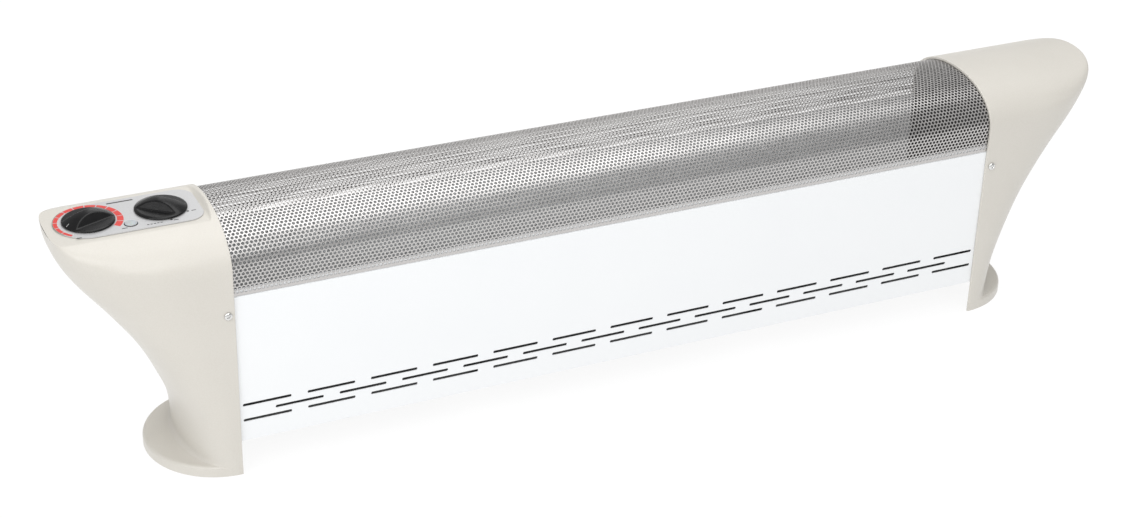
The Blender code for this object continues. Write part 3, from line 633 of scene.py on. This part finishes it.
def cap_ring(level, inset, nose_inset, lip, flat_top, flare):
    """One level of an end cap, from the front lip round the nose to the back lip."""
    half, z = section(level, inset)
    length = lip_length(z)
    front = []
    for out, rounding in cap_columns(lip, length):
        front.append((out, *section(level, inset + rounding)))
    reach = curve_value(REACH_KNOTS, z) - nose_inset - length
    if flare:
        reach += foot_flare(z)
    power = plan_power(z)
    full = HALF_DEPTH - inset
    for k in range(1, PLAN_STEPS + 1):
        turn = math.radians(90 * (k / PLAN_STEPS) ** 1.15)
        out = length + reach * math.sin(turn) ** (2 / power)
        side = full * max(math.cos(turn), 1e-5) ** (2 / power)
        ease = min(SHOULDER_EASE, (out - length) / 2, 1.5 * (full - half))
        front.append((out, soft_min(half, side, ease) if k < PLAN_STEPS else 0.0, z))
    if level == -90:
        front = [(out, 0.0, z) for out, _, z in front]
    if flat_top:
        rise = FACET_INNER_RISE if inset else FACET_OUTER_RISE
        front = [(out, y, cap_facet(z + inset, out, rise) - inset) for out, y, z in front]
    back = [(out, y, z) for out, y, z in reversed(front[:-1])]
    return [(out, -y, z) for out, y, z in front] + back


def cap_levels(low_z):
    """Levels from the floor up the wall, then up the dome, closest where the facet begins."""
    levels = [low_z, 0.008, FOOT_HEIGHT, FOOT_HEIGHT + 0.0006, FOOT_HEIGHT + 0.0014]
    levels += [FOOT_HEIGHT + 0.0024, FOOT_HEIGHT + 0.0040, FOOT_HEIGHT + FOOT_FILLET]
    levels += [0.020 + k * (SPRING_Z - 0.020) / 30 for k in range(31)]
    dome = [4, 8, 12, 16, 20, 24, 28, 32, 36, 40, 44, 48, 51, 54, 56, 58, 59.5, 60.5]
    dome += [61.2, 61.8, 62.4, 63.2, 64.5, 66, 68, 70.5, 73, 76, 79, 82, 84.5, 86.5, 88, 89.2, 90]
    return levels + [-angle for angle in dome]


def cap_body(side, inset=0.0, nose_inset=0.0, lip=0.0, low_z=0.0005, flare=True):
    """A cap's outer shape, or its hollow when it is inset."""
    rings = []
    for level in cap_levels(low_z):
        ring = cap_ring(level, inset, nose_inset, lip, side < 0, flare)
        rings.append([(side * (BODY_HALF + out), y, z) for out, y, z in ring])
    return loft(rings, dist=5e-7)


def foot_body(side, levels, start=0.0):
    """Half a disc, turned from (radius, z) levels, on the outer side of the body's end."""
    rings = []
    for radius, z in levels:
        ring = [(side * (BODY_HALF + start), -radius, z)]
        for k in range(FOOT_WALL_STEPS + 1):
            angle = math.pi * k / FOOT_WALL_STEPS
            out = BODY_HALF + radius * math.sin(angle)
            ring.append((side * out, -radius * math.cos(angle), z))
        ring.append((side * (BODY_HALF + start), radius, z))
        rings.append(ring)
    return loft(rings)


def foot_levels():
    """The foot's rim: an eased lower edge, a straight side and a well-rounded upper edge."""
    levels = [(HALF_DEPTH - 0.0006, 0.0), (HALF_DEPTH, 0.0006)]
    radius = FOOT_RIM_RADIUS
    for k in range(9):
        angle = math.radians(90 * k / 8)
        out = HALF_DEPTH - radius + radius * math.cos(angle)
        levels.append((out, FOOT_HEIGHT - radius + radius * math.sin(angle)))
    return levels


def end_cap(side):
    """The moulded cap: flared shell, foot, hollow inside, and its holes."""
    word = "left" if side < 0 else "right"
    shell = join(cap_body(side), foot_body(side, foot_levels()))
    if side < 0:
        cord_x, _, cord_z = centre_of("cord_bushing")
        seat_place = (cord_x, CORD_SEAT_Y, cord_z)
        shell = join(
            shell, rod(CORD_SEAT_RADIUS, (0, 1, 0), seat_place, HALF_DEPTH - CORD_SEAT_Y)
        )
    hollow = cap_body(side, CAP_WALL, NOSE_WALL, lip=HOLLOW_LIP, low_z=0.0001, flare=False)
    inner = HALF_DEPTH - CAP_WALL
    foot_hollow = ((inner, -0.010), (inner, 0.0075), (inner - 0.001, 0.0086))
    shell = cut(shell, hollow, foot_body(side, foot_hollow, start=HOLLOW_LIP))
    holes = []
    for front_word, front in (("front", -1), ("back", 1)):
        x, _, z = centre_of(f"{front_word}_{word}_cap_screw")
        holes.append(rod(SCREW_HOLE_RADIUS, (0, front, 0), (x, front * 0.060, z), 0.020))
    if side < 0:
        hole_z = FACET_Z - 0.010
        for node in ("thermostat_body", "selector_body"):
            x = centre_of(node)[0]
            holes.append(rod(SHAFT_HOLE_RADIUS, (0, 0, 1), (x, 0, hole_z), 0.020))
        holes.append(rod(LENS_HOLE_RADIUS, (0, 0, 1), (*LENS_CENTRE, hole_z), 0.020))
        holes.append(rod(CORD_HOLE_RADIUS, (0, 1, 0), (cord_x, 0.055, cord_z), 0.030))
    piece(
        f"{word}_cap_moulding",
        cut(shell, *holes),
        "cap_plastic",
        "heater",
        (f"{word}_end_cap",),
        angle=40,
    )


# ---------------------------------------------------------------- grille


def arch_path():
    """The grille's outer surface as arc lengths, points and normals, front edge to back edge."""
    half = GRILLE_HIGH.y
    rise = GRILLE_HIGH.z - SPRING_Z
    angles = np.radians(np.linspace(0, 90, 1500))
    share = np.sin(angles)
    y = half * np.maximum(1 - share**DOME_POWER, 0) ** (1 / DOME_POWER)
    z = SPRING_Z + rise * share
    straight = np.linspace(GRILLE_LOW.z, SPRING_Z, 60)[:-1]
    front_y = np.concatenate([np.full(len(straight), half), y])
    front_z = np.concatenate([straight, z])
    ys = np.concatenate([-front_y, front_y[-2::-1]])
    zs = np.concatenate([front_z, front_z[-2::-1]])
    length = np.concatenate([[0], np.cumsum(np.hypot(np.diff(ys), np.diff(zs)))])
    ty, tz = np.gradient(ys, length), np.gradient(zs, length)
    size = np.hypot(ty, tz)
    return length, ys, zs, -tz / size, ty / size


def grille_piece(name, mesh):
    piece(name, mesh, "grille_steel", "heater", ("perforated_grille",))


def perforated_grille():
    """The arched outlet: a staggered field of round holes punched in a bent sheet."""
    length, ys, zs, ny, nz = arch_path()
    total = length[-1]
    row_step = HOLE_PITCH * math.sqrt(3) / 2
    corner = HOLE_PITCH / math.sqrt(3)
    rows = int((total - 2 * HOLE_MARGIN - 2 * HOLE_RADIUS) / row_step) + 1
    first = (total - (rows - 1) * row_step) / 2
    columns = int(round(BODY_HALF / HOLE_PITCH))
    turns = np.radians(np.arange(12) * 30.0)
    reach = np.where(np.arange(12) % 2 == 1, corner, HOLE_PITCH / 2)
    edge = np.stack([reach * np.cos(turns), reach * np.sin(turns)], 1)
    ring = HOLE_RADIUS * np.stack([np.cos(turns), np.sin(turns)], 1)
    centres = []
    for row in range(rows):
        shift = 0.5 if row % 2 else 0.0
        for column in range(-columns, columns + (0 if row % 2 else 1)):
            centres.append(((column + shift) * HOLE_PITCH, first + row * row_step))
    centres = np.array(centres)
    bays = np.array_split(np.argsort(centres[:, 0], kind="stable"), GRILLE_BAYS)

    def fold(flat, depth):
        s = flat[:, 1]
        y = np.interp(s, length, ys) - depth * np.interp(s, length, ny)
        z = np.interp(s, length, zs) - depth * np.interp(s, length, nz)
        return np.stack([flat[:, 0], y, z], 1)

    for number, bay in enumerate(bays):
        here = centres[bay]
        flat_edge = (here[:, None, :] + edge[None]).reshape(-1, 2)
        flat_ring = (here[:, None, :] + ring[None]).reshape(-1, 2)
        keys = np.round(np.round(flat_edge * 1e6) / 20).astype(np.int64)
        _, index, back = np.unique(keys, axis=0, return_index=True, return_inverse=True)
        edge_points = flat_edge[index]
        flat = np.concatenate([edge_points, flat_ring])
        count = len(flat)
        cells = len(here)
        outer_edge = back.reshape(cells, 12)
        outer_ring = len(edge_points) + np.arange(cells * 12).reshape(cells, 12)
        following = np.roll(np.arange(12), -1)
        next_edge, next_ring = outer_edge[:, following], outer_ring[:, following]
        face = np.stack([outer_ring, outer_edge, next_edge, next_ring], 2).reshape(-1, 4)
        inner_ring, next_inner = outer_ring + count, next_ring + count
        wall = np.stack([next_ring, next_inner, inner_ring, outer_ring], 2).reshape(-1, 4)
        faces = np.concatenate([face, face[:, ::-1] + count, wall])
        points = np.concatenate([fold(flat, 0.0), fold(flat, SHEET)])
        mesh = bpy.data.meshes.new("grille_bay")
        mesh.from_pydata(points.tolist(), [], faces.tolist())
        mesh.update()
        grille_piece(f"grille_bay_{number + 1}", mesh)
    grille_margins(fold, centres, first, rows, row_step, corner, total)


def grille_margins(fold, centres, first, rows, row_step, corner, total):
    """The plain borders along the grille's two long edges, toothed to meet the holes' cells."""
    for name, row, sign, edge in (("front", 0, -1, 0.0), ("back", rows - 1, 1, total)):
        base = first + row * row_step
        line = np.sort(centres[np.isclose(centres[:, 1], base)][:, 0])
        inner = [(line[0] - HOLE_PITCH / 2, base + sign * corner / 2)]
        for x in line:
            inner.append((x - HOLE_PITCH / 4, base + sign * corner * 0.75))
            inner.append((x, base + sign * corner))
            inner.append((x + HOLE_PITCH / 4, base + sign * corner * 0.75))
            inner.append((x + HOLE_PITCH / 2, base + sign * corner / 2))
        inner = np.array(inner)
        inner[:, 0] = np.clip(inner[:, 0], GRILLE_LOW.x, GRILLE_HIGH.x)
        middle = np.stack([inner[:, 0], np.full(len(inner), base + sign * (corner + 0.0004))], 1)
        outer = np.stack([inner[:, 0], np.full(len(inner), edge)], 1)
        flat = np.concatenate([inner, middle, outer])
        count, width = len(flat), len(inner)
        faces = []
        for band in range(2):
            for k in range(width - 1):
                a = band * width + k
                quad = (a, a + 1, a + 1 + width, a + width)
                faces.append(quad if sign < 0 else quad[::-1])
                faces.append(tuple(v + count for v in reversed(faces[-1])))
        for k in range(width - 1):
            a = 2 * width + k
            quad = (a, a + 1, a + 1 + count, a + count)
            faces.append(quad if sign < 0 else quad[::-1])
        points = np.concatenate([fold(flat, 0.0), fold(flat, SHEET)])
        mesh = bpy.data.meshes.new("grille_margin")
        mesh.from_pydata(points.tolist(), [], faces)
        mesh.update()
        grille_piece(f"grille_{name}_margin", mesh)


# ---------------------------------------------------------------- controls


def knob_height(x, y):
    """The height of a knob's face: a dome cut away on both sides of a sloping ridge."""
    share = min((x * x + y * y) / KNOB_RADIUS**2, 1.0)
    dome = KNOB_RIM + KNOB_DOME * (1 - share)
    flank = KNOB_FACE + (HANDLE_FOOT - abs(y)) * HANDLE_SLOPE
    cutaway = -soft_min(-flank, -KNOB_FACE, KNOB_SOFTNESS)
    return soft_min(dome, cutaway, KNOB_SOFTNESS)


def control_knob(name):
    """A knob with a ridge to hold. The thermostat's has a light mark at its pointer's end."""
    low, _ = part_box(f"{name}_knob")
    centre = Vector((*DIAL_CENTRES[name], low.z))
    place = Matrix.Translation(centre) @ Matrix.Rotation(math.radians(HANDLE_ANGLES[name]), 4, "Z")
    turns = [2 * math.pi * k / KNOB_SEGMENTS for k in range(KNOB_SEGMENTS)]

    def level(radius, height=None):
        spots = [(radius * math.cos(turn), radius * math.sin(turn)) for turn in turns]
        return [(x, y, knob_height(x, y) if height is None else height) for x, y in spots]

    rings = [level(KNOB_BORE, 0.0017), level(KNOB_BORE, 0.0), level(KNOB_RADIUS - 0.0003, 0.0)]
    rings += [level(KNOB_RADIUS, 0.0003), level(KNOB_RADIUS, KNOB_RIM - 0.0004)]
    rings += [level(KNOB_RADIUS - 0.0001, KNOB_RIM - 0.0001)]
    rings += [level(radius) for radius in np.linspace(KNOB_RADIUS - 0.0004, 0.0002, 100)]
    mesh = loft(rings)
    mesh.transform(place)
    body = JOINTS[f"{name}_turn"]["child"]
    piece(f"{name}_knob_moulding", mesh, "knob_black", body, (f"{name}_knob",), 60)
    if name == "thermostat":
        mark = pointer_mark()
        mark.transform(place)
        piece("thermostat_pointer_mark", mark, "plate_aluminium", body)


def pointer_mark():
    """A short line inlaid on the handle's end, following its surface."""
    half_width, proud, deep = 0.0004, 0.00008, -0.0004
    corners = (
        (-half_width, proud),
        (half_width, proud),
        (half_width, deep),
        (-half_width, deep),
    )
    rings = []
    for k in range(7):
        x = -(0.0198 + 0.0030 * k / 6)
        rings.append([(x, y, knob_height(x, y) + lift) for y, lift in corners])
    return loft(rings)


def ring_band(centre, inner_start, inner_end, outer, start, end, steps=None):
    """A flat printed band round a dial, from one angle to another, whose inner edge may taper."""
    steps = steps or max(4, int(abs(end - start) / 2))
    cx, cy = centre
    top, bottom = [], []
    for k in range(steps + 1):
        share = k / steps
        angle = math.radians(start + (end - start) * share)
        inner = inner_start + (inner_end - inner_start) * share
        for radius, line in ((outer, top), (inner, bottom)):
            line.append((cx + radius * math.cos(angle), cy + radius * math.sin(angle)))
    return prism(top + bottom[::-1], "Z", PRINT_Z, PRINT_Z + PRINT_THICKNESS)


def bar(x, y, length, width):
    """A flat printed bar along X."""
    corners = []
    for a, b in ((-1, -1), (1, -1), (1, 1), (-1, 1)):
        corners.append((x + a * length / 2, y + b * width / 2))
    return prism(corners, "Z", PRINT_Z, PRINT_Z + PRINT_THICKNESS)


def dial_print(name, meshes, finish):
    piece(name, merged(meshes), finish, "heater")


def dial_prints():
    """The marks printed round the dials, all without lettering."""
    dial = DIAL_CENTRES["thermostat"]
    dial_x, selector_x = dial[0], DIAL_CENTRES["selector"][0]
    red = []
    for k in range(SCALE_SEGMENTS):
        a = SCALE_START + SCALE_SWEEP * k / SCALE_SEGMENTS
        b = SCALE_START + SCALE_SWEEP * (k + 1) / SCALE_SEGMENTS + SCALE_GAP
        inner_a = SCALE_INNER_START - SCALE_INNER_NARROWING * k / SCALE_SEGMENTS
        inner_b = SCALE_INNER_START - SCALE_INNER_NARROWING * (k + 1) / SCALE_SEGMENTS
        red.append(ring_band(dial, inner_a, inner_b, SCALE_OUTER, a, b))
    dial_print("dial_scale_red", red, "print_red")
    white = []
    for k in range(14):
        angle = SCALE_START + SCALE_SWEEP * k / 27
        white.append(ring_band(dial, 0.0262, 0.0262, 0.0270, angle, angle - 1.2, 2))
    dial_print("dial_ticks_white", white, "print_white")
    green = [ring_band(dial, 0.03105, 0.03105, 0.0314, 214, 128)]
    dial_print("dial_arc_green", green, "print_green")
    dark = []
    for x, y in ((selector_x + 0.0030, -0.0244), (selector_x + 0.0209, -0.0140)):
        dark.append(rod(0.00115, (0, 0, 1), (x, y, PRINT_Z), PRINT_THICKNESS, 20))
    for x, y, length in (
        (selector_x + 0.0068, -0.0262, 0.0042),
        (selector_x + 0.0262, -0.0140, 0.0042),
        (dial_x - 0.0150, -0.0283, 0.0045),
        (dial_x + 0.0262, -0.0252, 0.0050),
    ):
        dark.append(bar(x, y, length, 0.0011))
    for k in range(5):
        dark.append(bar(selector_x - 0.0185 + 0.0030 * k, -0.0262, 0.0019, 0.0012))
    dark.append(bar((dial_x + selector_x) / 2 + 0.002, 0.0262, 0.0240, 0.0018))
    dial_print("dial_marks_dark", dark, "print_dark")
    rim = ring_band(LENS_CENTRE, 0.0058, 0.0058, 0.0063, 0, 360, 64)
    dial_print("pilot_ring", [rim], "print_dark")


def pilot_lens():
    """A flat window over the pilot lamp, with an eased edge."""
    stem = FASCIA_HIGH.z + 0.0003 - LENS_LOW.z
    profile = [(0, 0), (0.0039, 0), (0.0039, stem), (0.0055, stem), (0.0056, stem + 0.0001)]
    profile += [(0.0056, stem + 0.0003), (0.0054, stem + 0.0005), (0, stem + 0.0005)]
    mesh = turned(profile, (0, 0, 1), (*LENS_CENTRE, LENS_LOW.z))
    piece("pilot_window", mesh, "milky_lens", "heater", ("pilot_lens",))


def fascia_plate():
    """The silver face under the knobs, round at one end and square-shouldered at the other."""
    outline = []
    corners = (
        (FASCIA_HIGH.x, 1, FASCIA_CORNER, 0),
        (FASCIA_LOW.x, 1, FASCIA_HIGH.y - 0.0005, 90),
        (FASCIA_LOW.x, -1, FASCIA_HIGH.y - 0.0005, 180),
        (FASCIA_HIGH.x, -1, FASCIA_CORNER, 270),
    )
    for x, side, radius, start in corners:
        cx = x - radius if start in (0, 270) else x + radius
        cy = side * (FASCIA_HIGH.y - radius)
        for k in range(25):
            angle = math.radians(start + 90 * k / 24)
            outline.append((cx + radius * math.cos(angle), cy + radius * math.sin(angle)))
    plate = prism(outline, "Z", FASCIA_LOW.z, FASCIA_HIGH.z)
    below = FASCIA_LOW.z - 0.002
    holes = [
        rod(radius, (0, 0, 1), (*centre, below), 0.006, 48)
        for centre, radius in (
            (DIAL_CENTRES["thermostat"], FASCIA_SHAFT_HOLE),
            (DIAL_CENTRES["selector"], FASCIA_SHAFT_HOLE),
            (LENS_CENTRE, LENS_HOLE_RADIUS),
        )
    ]
    piece(
        "fascia_plate",
        cut(plate, *holes),
        "fascia_silver",
        "heater",
        ("control_fascia",),
    )


# ---------------------------------------------------------------- fastenings and inner parts


def screw_profile():
    """A threaded shank and a pan head, as (radius, distance) points from the head's seat."""
    tip, core, head = SCREW_LENGTH, SCREW_CORE_RADIUS, SCREW_HEAD_RADIUS
    profile = [(0, -tip), (core, -tip + 0.0008)]
    for k in range(SCREW_THREADS):
        at = -tip + 0.0010 + k * SCREW_PITCH
        profile += [(core, at), (SCREW_THREAD_RADIUS, at + 0.0004)]
    profile += [(SCREW_THREAD_RADIUS, 0), (0.0037, 0), (head, 0.0003)]
    for k in range(1, 9):
        angle = math.radians(90 * k / 9)
        profile.append((head * math.cos(angle) ** 0.75, 0.0003 + 0.0019 * math.sin(angle)))
    return profile + [(0, 0.0022)]


def cap_screw(side, front_word, front):
    """A pan-head screw with a cross recess."""
    node = f"{front_word}_{side}_cap_screw"
    x, _, z = centre_of(node)
    seat = (x, front * (HALF_DEPTH + 0.0003), z)
    head = turned(screw_profile(), (0, front, 0), seat, 40)
    outwards = Vector((0, 0, 1)).rotation_difference(Vector((0, front, 0))).to_matrix().to_4x4()
    recess = []
    for angle in (SCREW_TURNS[side], SCREW_TURNS[side] + 90):
        rings = []
        for a, b, depth in ((0.0009, 0.00028, 0.0007), (0.0024, 0.00042, 0.0030)):
            rings.append([(-a, -b, depth), (a, -b, depth), (a, b, depth), (-a, b, depth)])
        blade = loft(rings)
        spin = Matrix.Rotation(math.radians(angle), 4, "Z")
        blade.transform(Matrix.Translation(seat) @ outwards @ spin)
        recess.append(blade)
    name = f"{side}_{front_word}_screw"
    piece(name, cut(head, *recess), "bright_fastener", "heater", (node,), 30)


def finned_element(name, node):
    """A sheathed rod with a close row of pressed fins."""
    low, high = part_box(node)
    z = (low.z + high.z) / 2
    length = high.x - low.x
    sheath = [(0, 0), (0.0036, 0), (0.0040, 0.0006), (0.0040, length - 0.0006)]
    sheath += [(0.0036, length), (0, length)]
    parts = [turned(sheath, (1, 0, 0), (low.x, 0, z), 24)]
    corner_y, corner_z = high.y - FIN_CORNER, (high.z - low.z) / 2 - FIN_CORNER
    outline = []
    for cy, cz, start in ((1, 1, 0), (-1, 1, 90), (-1, -1, 180), (1, -1, 270)):
        for k in range(4):
            angle = math.radians(start + 30 * k)
            y = cy * corner_y + FIN_CORNER * math.cos(angle)
            outline.append((y, z + cz * corner_z + FIN_CORNER * math.sin(angle)))
    count = int(FIN_SPAN / FIN_PITCH)
    for k in range(count + 1):
        x = -count * FIN_PITCH / 2 + k * FIN_PITCH
        parts.append(prism(outline, "X", x - FIN_HALF_THICKNESS, x + FIN_HALF_THICKNESS))
        parts.append(rod(0.0052, (1, 0, 0), (x - 0.0008, 0, z), 0.0016, 16))
    piece(name, merged(parts), "fin_aluminium", "heater", (node,), 30)


CARRIED = {
    "front_panel": "panel_paint",
    "back_panel": "panel_paint",
    # The bulkheads take near-black paint as painted shade, darkening the ends of the inside seen
    # through the grille.
    "left_bulkhead": "painted_shade_dark",
    "right_bulkhead": "painted_shade_dark",
    "thermostat_shaft": "bright_fastener",
    "selector_shaft": "bright_fastener",
    "thermostat_nut": "bright_fastener",
    "selector_nut": "bright_fastener",
    "thermostat_body": "ceramic",
    "selector_body": "phenolic",
    "pilot_lamp": "phenolic",
    "upper_left_insulator": "ceramic",
    "upper_right_insulator": "ceramic",
    "lower_left_insulator": "ceramic",
    "lower_right_insulator": "ceramic",
    "upper_left_terminal_nut": "bright_fastener",
    "upper_right_terminal_nut": "bright_fastener",
    "lower_left_terminal_nut": "bright_fastener",
    "lower_right_terminal_nut": "bright_fastener",
    "element_jumper": "copper",
    "left_element_support": "galvanised",
    "right_element_support": "galvanised",
    # The heat shields take near-black paint as painted shade, darkening what shows through the
    # panel slots.
    "front_heat_shield": "painted_shade_dark",
    "back_heat_shield": "painted_shade_dark",
    "left_cross_brace": "galvanised",
    "right_cross_brace": "galvanised",
    "thermal_cutout": "phenolic",
    "terminal_block": "ceramic",
    "cord_bushing": "rubber_black",
    "tip_switch_housing": "phenolic",
    "tip_pivot_pin": "bright_fastener",
    "tip_pendulum": "bright_fastener",
    "rating_plate": "plate_aluminium",
    "supply_lead": "sleeving_white",
    "element_lead": "sleeving_white",
    "thermostat_lead": "sleeving_red",
    "selector_lead": "sleeving_red",
}


def finish_carried_nodes():
    """CAD nodes whose shape is right keep it, and take a full material."""
    for node, finish in CARRIED.items():
        obj = frame["nodes"][node]
        if not obj.material_slots:
            obj.data.materials.append(FINISHES[finish])
        for slot in obj.material_slots:
            slot.material = FINISHES[finish]


# ---------------------------------------------------------------- stage


def surround():
    """A plain white world."""
    world = bpy.data.worlds.new("surround")
    bpy.context.scene.world = world
    world.use_nodes = True
    background = world.node_tree.nodes["Background"]
    background.inputs["Color"].default_value = (1.0, 1.0, 1.0, 1.0)
    background.inputs["Strength"].default_value = SURROUND_STRENGTH


def pale_floor():
    """A floor that is mostly self-lit, so that it shows as white as the photograph's ground."""
    mesh = box((-30, -30, -0.020), (30, 30, -0.0004))
    floor = bpy.data.objects.new("floor", mesh)
    bpy.context.scene.collection.objects.link(floor)
    pale = bpy.data.materials.new("pale_floor")
    pale.use_nodes = True
    shader = pale.node_tree.nodes["Principled BSDF"]
    shader.inputs["Base Color"].default_value = (FLOOR_GREY, FLOOR_GREY, FLOOR_GREY, 1.0)
    shader.inputs["Roughness"].default_value = 0.9
    shader.inputs["Emission Color"].default_value = (1.0, 1.0, 1.0, 1.0)
    shader.inputs["Emission Strength"].default_value = FLOOR_GLOW
    mesh.materials.append(pale)


def lamps():
    for name, place, aim, size, power in LAMPS:
        lamp = bpy.data.lights.new(name, "AREA")
        lamp.shape = "SQUARE"
        lamp.size = size
        lamp.energy = power
        obj = bpy.data.objects.new(name, lamp)
        obj.location = place
        obj.rotation_euler = (Vector(aim) - Vector(place)).to_track_quat("-Z", "Y").to_euler()
        bpy.context.scene.collection.objects.link(obj)


def camera():
    data = bpy.data.cameras.new("camera")
    data.lens = CAMERA_LENS
    data.sensor_width = 36.0
    data.sensor_fit = "HORIZONTAL"
    data.clip_start, data.clip_end = 0.01, 100.0
    obj = bpy.data.objects.new("camera", data)
    back = -Vector(CAMERA_AHEAD)
    turn = Matrix((CAMERA_RIGHT, CAMERA_UP, tuple(back))).transposed()
    obj.matrix_world = Matrix.Translation(CAMERA_PLACE) @ turn.to_4x4()
    bpy.context.scene.collection.objects.link(obj)
    bpy.context.scene.camera = obj


bpy.context.scene.view_settings.view_transform = "Standard"
surround()
pale_floor()
lamps()
camera()
finish_carried_nodes()
for end in (-1, 1):
    end_cap(end)
perforated_grille()
control_knob("thermostat")
control_knob("selector")
fascia_plate()
dial_prints()
pilot_lens()
for facing, facing_sign in (("front", -1), ("back", 1)):
    for end_word in ("left", "right"):
        cap_screw(end_word, facing, facing_sign)
finned_element("upper_finned_rod", "upper_element")
finned_element("lower_finned_rod", "lower_element")

bpy.context.view_layer.update()
